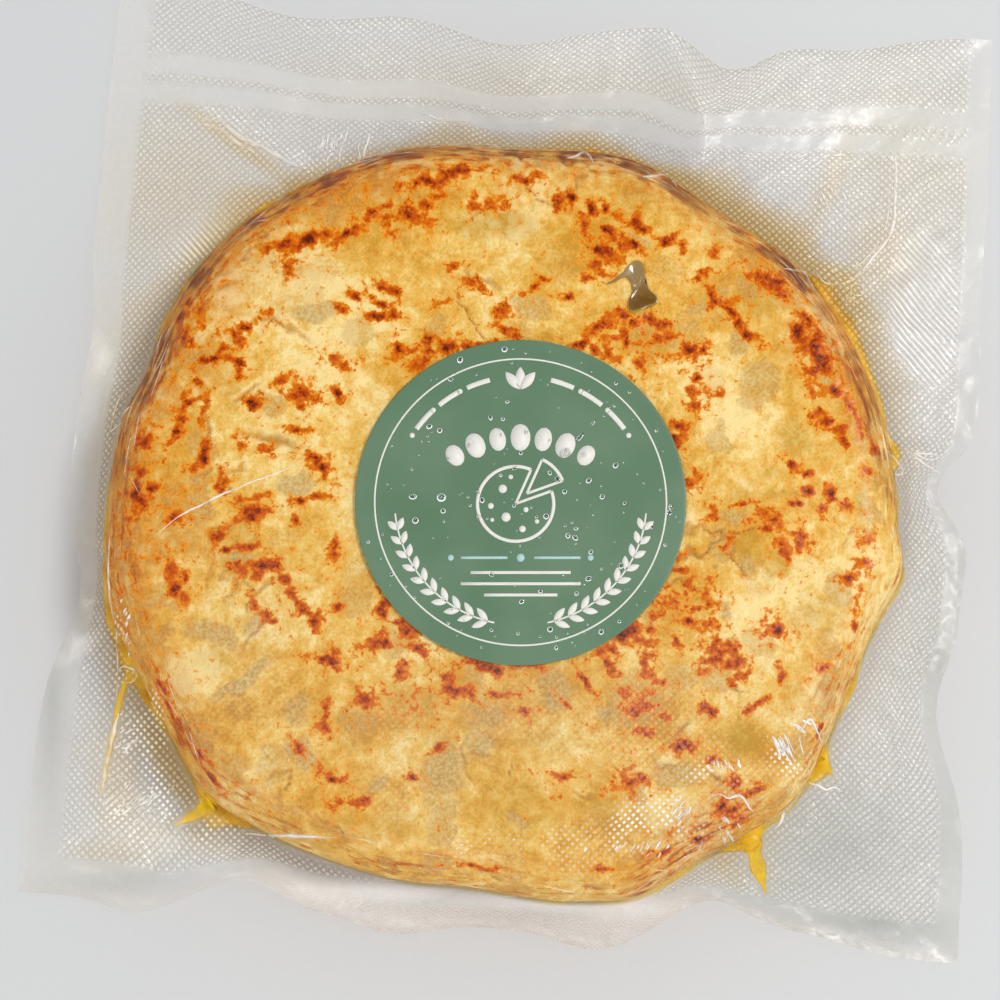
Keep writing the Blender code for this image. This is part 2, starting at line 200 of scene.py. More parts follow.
BROWNED_LEFT = (
    (-74, 15, 2.4, 1.1, 35, .9), (-68, 10, 3.4, 2.3, 0, 1), (-67, 7, 1.6, 1.1, 0, .9),
    (-82, 8, 1.6, 1.7, 0, 1), (-68, 0, 3.4, .7, 0, .8), (-57, 11, 1.2, 2, 0, 1), (-88, 18, .9, 2.4, 15, .7),
    (-100, 14, 1.6, 1.1, 0, .8), (-101, 9, 2.6, .9, 30, .9), (-104, 5, 3.6, 1, 72, .9),
    (-106, -2, 4, 1, 75, .9), (-107, -4, 1.3, 1.3, 0, 1), (-112, -18, 1.4, 1.3, 0, 1),
    (-115, -22, 1.7, 1.6, 0, .8), (-118, -26, 3.2, 1.1, 45, .8), (-115, -4, 1.7, 1.6, 0, .9),
    (-118, -2, 1, 2.2, 0, .7), (-116, -13, 1.7, 1.6, 0, .9), (-118, -20, 1.6, 1.6, 0, .8),
    (-97, -9, 1.4, 3, 0, 1), (-99, -12, 2, 1.1, 20, .9), (-97, 3, .7, 8, 3, .55),
    (-86, -5, 1.1, 2.2, 0, .6), (-79, -6, 1.7, 1.1, -15, .9), (-62, -11, 3.2, 1.7, -30, 1),
    (-60, -15, 1.6, 2.2, 30, .9), (-63, -21, 2.7, 1.1, 10, .9), (-67, -22, 1.4, 1.1, 0, .9),
    (-92, -17, 1.3, 2.4, 0, .9), (-104, -27, 2, 1.7, 20, .9), (-82, -26, 2.4, 1.9, -20, 1.2),
    (-78, -25, 2, 1, 5, 1), (-84, -22, 3.2, 1.3, 0, .8), (-80, -21, 2.6, .9, 10, .7),
    (-85, -28, 1.7, 1.3, 0, .8), (-69, -28, .9, 2.2, 0, .8), (-92, -33, 1.7, 2.2, 10, .9),
    (-90, -38, 1.3, 1.1, 0, 1), (-86, -37, 2.6, 1.1, -5, .7), (-82, -36, 1.6, 1.1, 0, .8),
    (-85, -43, 2.2, 1.6, -20, .8), (-80, -42, 3.2, 2.1, 0, .9), (-76, -42, 2.6, 1.9, 0, .8),
    (-79, -45, 2.6, 1.3, 0, .8), (-89, -42, 2.6, 1.6, -30, .5), (-72, -46, 2.4, 1.3, 0, .9),
    (-106, -44, 1.3, 3.4, 0, 1), (-104, -50, 3.2, 1.4, -55, 1), (-101, -45, 1, 2, 0, .9),
    (-70, -50, 1.6, 2.6, 30, .8), (-67, -55, 2.2, 1.3, -40, .8), (-64, -57, 2.2, .9, -30, .9),
    (-62, -59, 1.3, 2.2, 0, .9), (-56, -54, 1.3, 1.3, 0, .9), (-81, -53, 2.4, 1, -45, .8),
    (-77, -57, 1.2, 1.8, 35, .8), (-75, -59, 2.2, 1.1, -10, 1), (-59, -71, 3.7, 1.6, -15, 1),
    (-57, -67, 2, .8, -40, .9), (-59, -86, 1.1, 2.6, 0, .8), (-59, -91, 1.6, 1.6, 0, 1),
    (-67, -97, 2.4, 1.6, -50, .6), (-60, -103, 1.1, 2.2, 0, .9), (-57, -106, 2.7, 1.3, -30, 1),
    (-111, -79, 1.6, 3.2, 25, .9), (-109, -87, 1.1, 3.2, 15, .8), (-106, -91, 1.1, 2.2, 30, .9),
    (-98, -100, 3.2, .8, -35, .9), (-95, -107, 3, .8, -60, .8),
)
BROWNED_MARKS = (
    BROWNED_FAR_LEFT + BROWNED_FAR_MIDDLE + BROWNED_BY_LABEL + BROWNED_RIGHT + BROWNED_NEAR_SIDE
    + BROWNED_LEFT
)

MARK_SPREAD = 1.35
HALO_SPREAD = 2.6


def spread_marks(share):
    """The browned marks with their sizes multiplied."""
    return [(x, y, long * share, wide * share, turn, strength)
            for x, y, long, wide, turn, strength in BROWNED_MARKS]


# Slices of potato that show through the egg, in the browned marks' six numbers
POTATO_SLICES = (
    (-65, 37, 7, 3.2, 5, .8), (3, 37, 6, 4, 0, .5), (60, 43, 3, 2.4, 0, .5), (66, 28, 3, 5, 0, .6),
    (54, 37, 3, 2, 0, .6), (72, 15, 6, 5, 20, .5), (63, -27, 4, 3, 0, .6), (67, -42, 2.4, 3.2, 20, .7),
    (61, -57, 1.8, 3.2, 0, .9), (45, -105, 6, 4, 10, .7), (-23, -103, 6, 8, -25, .8),
    (-24, -116, 4, 3, 0, .5), (-84, -77, 10, 2.2, 38, .9), (-94, -63, 8, 3, -20, .7),
    (-81, -60, 4, 2.2, 40, .7), (-67, -86, 4, 5, -20, .7), (-66, -99, 3, 5, 30, .8),
    (-10, -88, 5, 3.4, 20, .5), (9, -80, 4, 6, 0, .6), (33, -84, 8, 7, 0, .5), (-77, 8, 5, 4, 0, .6),
    (-97, -16, 3, 5, 10, .6), (-69, -17, 5, 3, 0, .8), (-86, -41, 4.4, 3.6, 0, .8), (28, 60, 2, 2, 0, .5),
    (35, 60, 4, 1.6, -40, .6), (-8, 45, 3, 1.4, -35, .6), (24, -87, 2.6, 2, 0, .8),
    (36, -59, 2, 2, 0, .6), (62, -66, 2.4, 1.6, 0, .7), (50, 30, 4, 5, 0, .3), (94, 15, 3, 3, 0, .7),
    (-13, -96, 3, 2, 40, .8), (-43, -107, 3, 1.6, 30, .7), (-3, -119, 4, 1.6, -30, .6),
    (-50, -88, 5, 3, 0, .4),
)

# Yellow, oily places where the egg is thin over potato, in the same six numbers
OILY_PLACES = (
    (-9, 65, 15, 5, -3, .9), (83, -3, 5, 6, 20, .8), (76, -13, 4, 2.4, 0, .6), (75, -20, 5, 2, 0, .5),
    (68, -38, 4, 6, 0, .8), (76, -42, 5, 4, -20, .7), (65, -94, 7, 5, -10, 1), (22, -114, 8, 5, 0, .6),
    (32, -119, 12, 6, 0, .5), (-87, -103, 5, 3, 0, .5), (-35, -84, 10, 6, 0, .6), (72, 41, 7, 6, 0, .8),
    (40, 26, 7, 6, 0, .6), (93, -77, 3, 7, 0, .7), (90, -57, 8, 6, 0, .4), (-45, -120, 16, 5, 0, .4),
    (0, -116, 16, 9, 0, .4), (43, -92, 6, 4, 0, .5), (-93, -70, 8, 4, 0, .4), (-75, -4, 8, 1.6, -20, .8),
    (-104, -34, 5, 4, 0, .5), (-80, 55, 8, 4, 30, .5), (10, 58, 12, 4, 0, .3), (66, -22, 8, 3, 0, .3),
    (48, -14, 3, 8, 0, .3), (4, -95, 10, 3, 0, .3),
)

# Broad paler (+) and deeper (-) tones of the face, in the same six numbers
BROAD_TONES = (
    (-70, 40, 18, 14, 0, .4), (-6, 64, 12, 8, 0, .35), (63, 5, 13, 16, 0, .45), (-98, -74, 8, 8, 0, .35),
    (-16, -98, 18, 10, 0, .15), (63, -60, 10, 9, 0, .2), (-79, -11, 16, 14, 0, .3),
    (-43, -89, 12, 5, 0, -.3), (68, -34, 10, 9, 0, -.5), (66, -95, 9, 7, 0, -.6),
    (35, -88, 11, 9, 0, -.6), (50, -50, 9, 9, 0, -.4), (36, 32, 14, 10, 0, -.7),
    (-31, 74, 16, 7, 0, -.15), (22, 60, 10, 10, 0, -.5), (100, 4, 7, 18, 0, -.4), (-36, 40, 9, 12, 0, .3),
    (18, -104, 26, 12, 0, -.2), (-52, -62, 16, 12, 0, .25), (-48, -104, 30, 14, 0, -.35),
    (-88, -96, 12, 8, -40, -.1), (40, 52, 6, 5, 0, -.4), (-50, 8, 10, 14, 0, -.1),
)

# Cracks and lips in the egg: (depth, half width, points along it)
CRACKS = (
    (0.8, 0.8, ((-99, 12), (-98, 8), (-97.2, 2), (-96.5, -4), (-96, -8))),
    (0.9, 0.9, ((-88, -1), (-83, -2.5), (-77, -3.5), (-72, -6), (-67, -8.5))),
    (0.7, 0.7, ((-94, -13.5), (-89, -13), (-85, -11.5), (-83, -13.5))),
    (0.9, 0.8, ((-77, -56), (-79, -60.5), (-83, -64), (-86, -69))),
    (0.7, 0.7, ((-73, -44), (-79, -48), (-83, -52))),
    (0.6, 0.6, ((-18, -91), (-18, -95), (-17.5, -99), (-16, -103), (-15.5, -108))),
    (0.6, 0.5, ((-19, -99), (-14, -99), (-9, -99.5))),
    (0.6, 0.5, ((-2, -100), (-3, -105), (-3.5, -109))),
    (0.9, 0.7, ((50, -87), (47.5, -91), (44, -95), (41, -97.5))),
    (0.8, 0.7, ((-20, 52), (-16, 49), (-11, 45.5), (-8, 43))),
    (0.9, 0.8, (
        (-93, 23), (-88, 31), (-82, 34), (-78, 33.5), (-74, 31.5), (-71, 31), (-67, 28), (-65, 26.5))),
    (0.8, 0.9, ((-97, 42), (-92, 46), (-86, 48))),
    (0.8, 0.6, ((83, -84.5), (87, -82), (90, -76), (91, -73))),
    (1.0, 0.8, ((53, -103), (56, -104.5), (60, -105.5))),
    (0.7, 0.6, ((38, -104), (42, -102.5), (46, -102))),
    (0.6, 0.6, ((15, -109), (19, -111.5), (21, -115))),
    (0.9, 0.7, ((60, -77.5), (62.5, -80), (65, -84))),
    (0.8, 0.6, ((-80, 15), (-85, 11), (-89, 8))),
    (0.7, 0.6, ((65, 57), (69, 52), (72, 49))),
)

# The pit in the top face, as lobes that run into each other, and its depth. The outline of the juice in
# it is given as places that a smooth closed line runs through.
PIT_LOBES = ((34.9, 49.6, 2.2, 2.6, 0, 1), (36.0, 45.5, 1.8, 2.8, -15, 1), (36.6, 40.8, 3.4, 2.2, -12, 1))
PIT_DEPTH = 2.2
POOL_OUTLINE = (
    (34.6, 53.2), (36.6, 52.4), (37.4, 49.6), (37.4, 46.6), (38.8, 44.0), (41.2, 41.4), (41.0, 39.4),
    (38.2, 38.4), (35.6, 37.0), (32.8, 36.6), (32.0, 39.4), (33.4, 43.2), (32.8, 46.2), (31.0, 48.8),
    (32.0, 51.4),
)
POOL_TAIL = ((32.2, 49.4), (29.6, 47.8), (27.6, 46.4), (25.6, 45.6))

# Browning of the rim beyond its even share: (angle in degrees, strength, half width)
RIM_BROWNING = (
    (150, 0.8, 34), (115, 0.5, 18), (185, 0.5, 18), (90, 0.9, 16), (48, 0.9, 12), (12, 0.6, 12),
    (-62, 0.6, 12), (-130, 0.3, 16), (-95, 0.4, 10), (70, 0.5, 14), (-30, 0.3, 10),
)

# Toasted wash on the rim, in the same three numbers
RIM_WASH = (
    (150, 0.85, 28), (114, 0.8, 16), (182, 0.6, 14), (62, 0.4, 16), (24, 0.7, 14), (-62, 0.6, 12),
    (-140, 0.4, 16), (-165, 0.4, 14), (-100, 0.2, 18), (-28, 0.3, 12), (86, 0.5, 16), (44, 0.4, 10),
)

# Where the rim shows as a dark band under the film's folds, partly its browned skin and partly painted
# shade on the far side, in the same three numbers
SHADED_RIM = (
    (84, 1.0, 8), (68, 1.0, 7), (58, 0.5, 5), (46, 0.9, 5), (38, 1.0, 6), (21, 0.9, 9), (104, 0.7, 8),
    (118, 0.9, 8), (134, 0.8, 7), (149, 1.0, 9), (166, 0.9, 9), (6, 0.5, 5),
)

# Folds in the film: (height, half width, points along it)
FOLDS = (
    (1.6, 4.0, ((-108, 111), (-97, 107), (-81, 96), (-65, 88))),
    (2.0, 4.0, ((46, 138), (49, 130), (55, 116), (59, 106), (57, 89))),
    (2.0, 4.0, ((131, -9), (125, -5.5), (119, -2))),
    (1.6, 3.6, ((-125, -71), (-126, -92), (-129, -107), (-127, -117))),
    (1.6, 3.6, ((67, -122), (70, -129), (74, -139))),
    (1.4, 3.4, ((-135, -49), (-128, -53), (-125, -58))),
    (1.6, 4.0, ((120, 98), (119, 73), (111, 61), (103, 52), (95, 52))),
    (1.2, 3.6, ((-87, -120), (-74, -122), (-56, -123))),
    (1.4, 3.6, ((97, -108), (90, -107), (86, -105))),
)

# Creases that stand up as fine ridges: (half width, height, whiteness, points along the crest). The
# whiteness is partly the film whitened where it is creased and partly painted highlight.
CREASES = (
    (0.35, 0.45, 0.75, (
        (-110, -32), (-104, -27), (-98, -24), (-90, -20), (-83, -17), (-75, -14), (-68, -11))),
    (0.45, 0.60, 0.55, ((-126, -31), (-126.2, -43), (-125.4, -58), (-125, -71), (-125, -81))),
    (0.40, 0.50, 0.70, ((-125, -71), (-122.3, -69.6), (-119, -72), (-119.7, -74.5), (-123.4, -75.4))),
    (1.10, 0.90, 0.45, (
        (-108, 111), (-103, 108.7), (-97.4, 107), (-91.5, 102.2), (-81, 96.4), (-72, 91), (-65, 88))),
    (0.80, 0.80, 0.60, ((-104, 107), (-98, 105), (-93, 101), (-86, 96))),
    (0.80, 0.80, 0.12, ((46, 138), (49, 129.6), (54.6, 116), (59, 106.3), (58.5, 97), (57.4, 88.6))),
    (0.80, 0.90, 0.80, ((120.5, 98), (120.6, 90), (119, 73), (116, 66.5), (111.3, 60.8), (108, 56.2))),
    (0.70, 0.80, 0.75, ((108, 56.2), (103, 52.5), (98.3, 51.5), (95, 52.2), (91.4, 56.5))),
    (0.45, 0.60, 0.45, ((118, 88), (117.5, 76), (113.5, 66), (107, 58.5), (102, 56))),
    (0.50, 0.70, 0.55, ((-130, 3.8), (-126.7, 15.2), (-120.6, 20.7))),
    (0.50, 0.70, 0.50, ((-130, 3.8), (-127, 6.0), (-121, 8.5))),
    (0.90, 0.80, 0.85, ((-124.4, -84), (-126.2, -92), (-127.6, -99), (-128.8, -107.4))),
    (0.50, 0.60, 0.70, ((131, -8.8), (125.4, -5.5), (119.6, -2))),
    (0.45, 0.60, 0.60, ((122.5, -3.1), (127.3, -2.4), (131.4, -3.1), (127.5, -4.6), (122.5, -3.1))),
    (0.45, 0.60, 0.50, ((-87, -120.4), (-74.6, -122), (-56.2, -123.2))),
    (0.45, 0.50, 0.85, ((80, -88.9), (82.2, -91.6), (85, -88.3), (87.6, -91.6), (89, -94.3))),
    (0.55, 0.60, 0.80, ((86.3, -105.6), (89.4, -106.5), (91.8, -107.9), (94.5, -107), (97.3, -108.3))),
    (0.40, 0.45, 0.80, (
        (54.5, -111.6), (57.8, -110.5), (60.7, -111.6), (63.8, -111), (67, -114.6), (68.2, -115.2))),
    (0.55, 0.55, 0.80, ((82.7, -110.7), (81.1, -112.8), (79.2, -114.6), (78.2, -117.3), (76.4, -119.4))),
    (0.50, 0.70, 0.50, ((112, 2), (113.7, -1.7), (119, -8.7), (114, -10))),
    (0.45, 1.00, 0.35, ((-24.3, 92.4), (-19, 94), (-14.8, 96.8), (-11, 94), (-7.2, 92.4))),
    (0.45, 1.00, 0.35, ((13.6, 87.2), (16.5, 88), (19.3, 90.1), (20.8, 87.5), (21.8, 85.2))),
    (0.45, 1.00, 0.35, ((36.9, 80.6), (41, 81.2), (45.4, 83.2), (47, 80.2), (48.2, 77.9))),
    (0.45, 1.00, 0.35, ((80.5, 51.1), (84, 51), (87.7, 51.7), (89, 48.4), (90.4, 45.2))),
    (0.80, 0.70, 0.55, ((-33, 110), (-27, 107.5), (-22, 107), (-16.9, 106))),
)

# Bubbles between the films, ringed by a fine ridge: (x, y, radius)
BUBBLES = (
    (106.4, 50.5, 2.2), (109.4, 55.8, 1.3), (118.5, 69.8, 1.6), (114.8, 64.1, 1.1), (87.8, -116.6, 1.2),
    (104, 46.5, 1.4), (111.5, 59.6, 0.8), (-127, -104, 1.0), (-123.5, -111, 1.3), (121, 76, 0.9),
)

# Where the film is gathered into fine folds along the rim: (angle and spread in degrees, how many)
GATHERS = (
    (155, 17, 30), (120, 12, 16), (-148, 12, 10), (22, 10, 14), (-58, 9, 10), (75, 14, 10), (-105, 14, 8),
)

# Brushes of short fine creases: (x, y, heading in degrees, length, how many, spread along x and y)
BRUSHES = (
    (77, -97, -62, 7.5, 15, 4.4, 2.6), (82, -91, -35, 4.0, 5, 2.0, 1.2),
    (58, -102, -70, 2.4, 12, 5.0, 1.2), (46, -117, 55, 4.0, 14, 2.6, 5.0),
    (33, -126, 60, 3.2, 16, 9.0, 1.4), (-56, 98, 70, 7.0, 14, 8.0, 4.0),
    (-119, -112, 38, 6.0, 22, 5.0, 4.0), (-120, -58, 62, 2.2, 16, 0.9, 9.0),
    (-122, -96, 40, 3.4, 18, 2.6, 9.0), (101, 83, -60, 4.0, 12, 4.0, 5.0),
    (94, 96, 25, 5.0, 10, 8.0, 2.0), (60, -121, -50, 3.0, 8, 3.0, 2.0),
    (-112, -110, 40, 3.0, 12, 5.0, 4.0),
)

# Small tents where the film stands off the omelette's edge: (degrees, height, half width, reach)
TENTS = (
    (95, 2.4, 3.0, 9), (77, 1.8, 3.0, 8), (63, 2.0, 3.0, 9), (38, 2.6, 3.2, 12), (9, 3.0, 3.0, 12),
    (-9, 1.6, 2.6, 8), (164, 3.0, 4.0, 10), (-172, 1.8, 2.6, 8), (-73, 2.0, 3.0, 8), (-55, 3.0, 3.2, 12),
    (-39, 2.4, 3.0, 10), (-133, 2.6, 3.6, 12), (120, 1.8, 4.0, 9), (142, 2.0, 3.6, 9), (-20, 1.4, 3.0, 8),
    (-95, 1.6, 3.0, 8), (-112, 1.4, 3.0, 7), (-152, 1.8, 3.0, 9), (-160, 1.6, 2.4, 8), (24, 1.6, 3.0, 9),
)

# Where the embossing glints white, painted as milky white points, and where the film is drawn out into
# lines, as (x, y, half length, half width, turn in degrees, strength)
GLINTS = (
    (0, -126, 34, 9, 0, .55), (40, -118, 26, 9, 15, .8), (56, -106, 12, 7, 20, .8),
    (80, -96, 9, 11, -30, 1.0), (-118, -114, 14, 9, 35, 1.3), (-124, -66, 4, 13, 0, .9),
    (-56, 92, 7, 9, 0, .7), (104, 122, 34, 12, 0, .4), (-115, -96, 7, 20, -8, 1.3),
    (-104, 62, 20, 12, 40, .5), (128, 44, 12, 26, 0, .5), (92, 88, 26, 16, 0, .5),
    (-100, -118, 20, 7, 0, .6), (20, 108, 40, 8, 0, .35),
)
DRAWN_OUT = ((-104, 66, 22, 14, 40, .5), (128, 46, 12, 26, 0, 1), (-122, -98, 8, 12, 0, .3))

# Painted highlights: milky white patches where the smooth film catches the light, in the same six numbers
SHEENS = (
    (-134, 29, 4, 7, 20, .8), (-132, -50, 3.4, 1.4, 0, .9), (-136, -62, 7, 3.6, 38, .7),
    (-75, 113, 2.6, 5, -30, .8), (-25, 107.5, 8, 1.6, 5, .8), (18, 106, 5, 2.6, 35, .8),
    (104, 109, 16, 3, 14, .7), (101, 91, 2.4, 7, -20, .7), (112, 114, 7, 2, 20, .8),
    (88, 103, 6, 1.6, 20, .6),
)

# Where the film is painted greyer, less milky and less glossy: painted shade, in the same six numbers
PAINTED_SHADE_PLACES = (
    (96, -124, 48, 32, 20, 1.3), (128, -60, 20, 54, 0, .9), (20, -146, 44, 12, 0, .4),
    (-146, -78, 6, 46, 0, .9), (-122, -135, 28, 6, 6, .7), (106, -147, 34, 8, -6, 1.3),
)

# Where the smooth seal beside the near rim is painted pale: painted light over the shadow under the rim, in
# the same six numbers
PAINTED_LIGHT_SEAL = ((-40, -138.6, 26, 3.2, -2, .75), (4, -141.6, 36, 3.6, -3, .8))

# Where the film over the omelette is painted a little greyer, painted shade, under a faint wash of white,
# in the same six numbers
SHADE_AND_WHITE_WASH_PLACES = ((-10, -88, 74, 34, 0, 1.2), (-80, -62, 22, 26, 0, .9))

# Where a little juice tints the film away from the omelette, in the same six numbers
STAINS = (
    (-112, 84, 26, 30, 0, .45), (-124, -106, 8, 22, 0, .6), (-118, -120, 16, 6, 10, .4),
    (114, 62, 12, 22, -20, .6), (-90, 98, 26, 3, -38, 1), (-124, -50, 3, 24, 0, .9),
    (124, 96, 24, 34, 0, .3), (-128, 30, 10, 30, 0, .4), (0, 118, 90, 12, 0, .25),
    (-107, -103, 5, 14, 28, 1), (104, 50, 9, 7, -30, 1), (100, 88, 4, 22, -24, .6),
    (-105, -98, 5, 11, 20, 1), (101, 43, 5, 9, -28, 1), (-125, -126, 16, 6, 8, .5),
)

# How much the film is wet with juice right round the omelette: (angle in degrees, share, half width)
STAINED_SIDES = (
    (38, 0.8, 24), (74, 0.9, 24), (130, 0.7, 26), (176, 0.3, 14), (-146, 0.6, 20), (-55, 0.4, 8),
)

# Pools where the juice runs out from the omelette: (angle in degrees, width, half width in degrees)
JUICE_POOLS = (
    (35, 4.5, 2.6), (29, 4.0, 4), (20, 1.6, 7), (-39, 4, 2.0), (-54, 4, 2.2), (-133, 6, 3.0),
    (9, 4, 2.0), (-156, 3, 4), (-163, 2, 5), (128, 2, 5), (148, 1.5, 8), (102, 1.2, 5), (77, 1.2, 5),
)

# Where the rim has almost no bead of juice, in shares: (angle in degrees, share, half width in degrees)
DRY_RIM = ((-112, 0.8, 14),)

# The print's own motifs: dots on the badge (distance, angle, radius), the slices' half sizes, the short
# rules (height, half length)
BADGE_DOTS = (
    (6, 130, 1.3), (7.5, 185, 0.9), (5, 235, 1.4), (8, 285, 1.0), (3.6, 330, 0.8), (8.4, 100, 0.7),
    (8.6, 215, 0.6), (8.4, 320, 0.7),
)
ROW_OF_SLICES = ((2.6, 3.4), (2.9, 3.9), (2.5, 3.6), (3.0, 4.2), (2.6, 3.7), (2.9, 4.0), (2.5, 3.3))
SHORT_RULES = ((-22.0, 15.0), (-25.4, 18.0), (-28.8, 11.0))
BLUE_RULE_HEIGHT = -17.5
RING_LINE_RADIUS = 44.0
MOTIF_RADIUS = 38.0
DASH_RADIUS = 38.5
SLICES_DOWN = 18.5
PRINT_THICKNESS = 0.05

# The label's disc: rings out to where its edge rounds off, points round each, and how low it lies
LABEL_RINGS = 48
LABEL_MERIDIANS = 256
LABEL_SAG = 0.06
LABEL_THICKNESS = 0.25

# The large drops on the label: (x, y from its middle, radius, stretch, turn in radians)
LARGE_DROPS = np.array((
    (13.5, 14.5, 1.5, 1.25, 0.4), (18.0, 19.5, 0.6, 3.2, 0.85), (22.0, 24.0, 0.45, 2.6, 0.9),
    (-23.9, 0.9, 1.3, 1.1, 0.2), (-31.7, -6.2, 1.0, 1.0, 0.0), (-18.4, 43.7, 0.9, 1.2, 1.2),
    (-4.8, 47.0, 0.9, 1.1, 0.6), (30.0, -20.0, 0.9, 1.1, 0.3),
))
DROP_HEIGHT_SHARE = 0.55

# Tongues of juice that run out further: (half width at the root, points along it)
JUICE_TONGUES = (
    (3.8, ((68.4, -121.8), (69.6, -126), (71, -131), (73.4, -138.4))),
    (2.6, ((90, -98.6), (92, -101), (94, -103.6))),
    (1.2, ((-121.5, -72), (-124, -80), (-126, -90), (-128, -100), (-129, -108))),
    (3.0, ((-94, -111), (-100, -115), (-106, -118))),
)

# Seal strips of the bag, in flat-bag millimetres from its middle
LEFT_SEAL = 132.5
RIGHT_SEAL = 136.5
BOTTOM_SEAL = 138.0
BOTTOM_LINED = 143.6
TOP_SEAL_BANDS = ((106.3, 113.0), (116.0, 123.5))
EMBOSS_PITCH = 1.75

# How many times finer the bottom edge's own embossing is, across and along
LINED_SQUEEZE = (1.3, 2.6, 1.0)

# The stage, in metres
LAMP_DISTANCE = 2.4
WORKTOP_HALF_WIDTH = 3.0
CAMERA_PLACE = (-7.2 * MM, -158.35 * MM, 734.9 * MM)


def linear(red, green, blue):
    """A colour given as 0 to 255 on screen, made linear by the power curve of sRGB."""
    channels = np.array((red, green, blue)) / 255
    return tuple(np.where(channels > 0.04045, ((channels + 0.055) / 1.055) ** 2.4, channels / 12.92))


# Settings that a user would change


def colour_setting(name, description, red, green, blue):
    """A colour property with a screen colour as its default."""
    return bpy.props.FloatVectorProperty(
        name=name, description=description, subtype="COLOR", size=3, min=0, max=1,
        default=linear(red, green, blue),
    )


class OmeletteSettings(bpy.types.PropertyGroup):
    """Colours and relief of the omelette and its juice."""

    egg: colour_setting("Egg", "Set egg on the top face", 241, 200, 110)
    yolk: colour_setting("Yolk", "Yellower egg between the slices", 229, 176, 76)
    oily: colour_setting("Oily", "Thin oily egg over potato", 196, 150, 46)
    potato: colour_setting("Potato", "Potato slices that show through", 188, 156, 96)
    golden: colour_setting("Golden", "Thinly browned egg", 232, 148, 30)
    browned: colour_setting("Browned", "Well browned egg", 202, 86, 0)
    darkest: colour_setting("Darkest", "The darkest specks", 84, 26, 0)
    relief: bpy.props.FloatProperty(
        name="Relief", description="Height of the lumps on the top face, in millimetres", default=0.45,
        min=0.0, max=2.0,
    )
    juice: colour_setting("Juice", "Amber juice round the edge", 246, 204, 66)


class FilmSettings(bpy.types.PropertyGroup):
    """Finish of the clear film."""

    haze: bpy.props.FloatProperty(
        name="Haze", description="Milkiness of one layer of film", subtype="FACTOR", default=0.09,
        min=0.0, max=1.0,
    )
    emboss: bpy.props.FloatProperty(
        name="Emboss", description="Depth of the embossed diamonds", unit="LENGTH", default=0.4 * MM,
        min=0.0, max=1.0 * MM,
    )


class LabelSettings(bpy.types.PropertyGroup):
    """Colours of the label and its print, and the number of drops on it."""

    paper: colour_setting("Paper", "Green of the label", 93, 127, 97)
    ink: colour_setting("Ink", "Off-white of the print", 238, 234, 226)
    drops: bpy.props.IntProperty(
        name="Drops", description="Drops of condensation on the label", default=170, min=0, max=600,
    )


class StageSettings(bpy.types.PropertyGroup):
    """Floor, light and camera."""

    floor: colour_setting("Floor", "Pale worktop", 214, 215, 216)
    key_power: bpy.props.FloatProperty(
        name="Key light", description="Power of the soft key light", subtype="POWER", default=29.0,
        min=0.0, max=200.0,
    )
    fill_power: bpy.props.FloatProperty(
        name="Fill light", description="Power of the wide fill light", subtype="POWER", default=15.0,
        min=0.0, max=200.0,
    )
    camera_tilt: bpy.props.FloatProperty(
        name="Camera tilt", description="How far the camera leans back from straight down",
        subtype="ANGLE", default=math.radians(11), min=0.0, max=math.radians(60),
    )


# Noise and bell curves


def hashed(column, row, seed):
    """A number from -1 to 1 for each whole-number corner, from its column, row and seed."""
    mixed = column * 374761393 + row * 668265263 + seed * 974634777
    mixed = (mixed ^ (mixed >> 13)) * 1274126177
    mixed = (mixed ^ (mixed >> 16)) & 0xFFFFFF
    return mixed / float(0x7FFFFF) - 1.0


def smooth_noise(x, y, seed):
    """Noise from -1 to 1: hashed corner values blended by the cubic 3t^2 - 2t^3 along both ways."""
    column = np.floor(x).astype(np.int64)
    row = np.floor(y).astype(np.int64)
    across = x - column
    up = y - row
    across = across * across * (3 - 2 * across)
    up = up * up * (3 - 2 * up)
    near = hashed(column, row, seed) * (1 - across) + hashed(column + 1, row, seed) * across
    far = hashed(column, row + 1, seed) * (1 - across) + hashed(column + 1, row + 1, seed) * across
    return near * (1 - up) + far * up


def layered_noise(x, y, size, seed, layers=4):
    """Layers of smooth noise, each half as wide and half as strong as the one before."""
    total = np.zeros_like(x)
    strength = 0.5
    for layer in range(layers):
        turn_x = 0.8 * x + 0.6 * y
        turn_y = -0.6 * x + 0.8 * y
        x, y = turn_x, turn_y
        total += strength * smooth_noise(x / size, y / size, seed + layer)
        size = size / 2
        strength = strength / 2
    return total


def smooth_step(value, low, high):
    """0 below low, 1 above high, and the cubic 3t^2 - 2t^3 between."""
    share = np.clip((value - low) / (high - low), 0, 1)
    return share * share * (3 - 2 * share)


def bell(distance, half_width):
    """exp(-(distance / half width)^2): 1 in the middle, falling to nothing on both sides."""
    return np.exp(-((distance / half_width) ** 2))


def bell_curves(place, bumps):
    """The sum of the bumps' bells, each times its height."""
    total = np.zeros_like(place)
    for middle, height, half_width in bumps:
        total += height * bell(place - middle, half_width)
    return total


def degrees_from(angle, middle):
    """How many degrees each angle lies from a middle in degrees, the short way round."""
    return (np.degrees(angle) - middle + 180) % 360 - 180


def ring_curves(angle, bumps):
    """The same sum on a circle, with distances in degrees."""
    total = np.zeros_like(angle)
    for middle, height, half_width in bumps:
        total += height * bell(degrees_from(angle, middle), half_width)
    return total


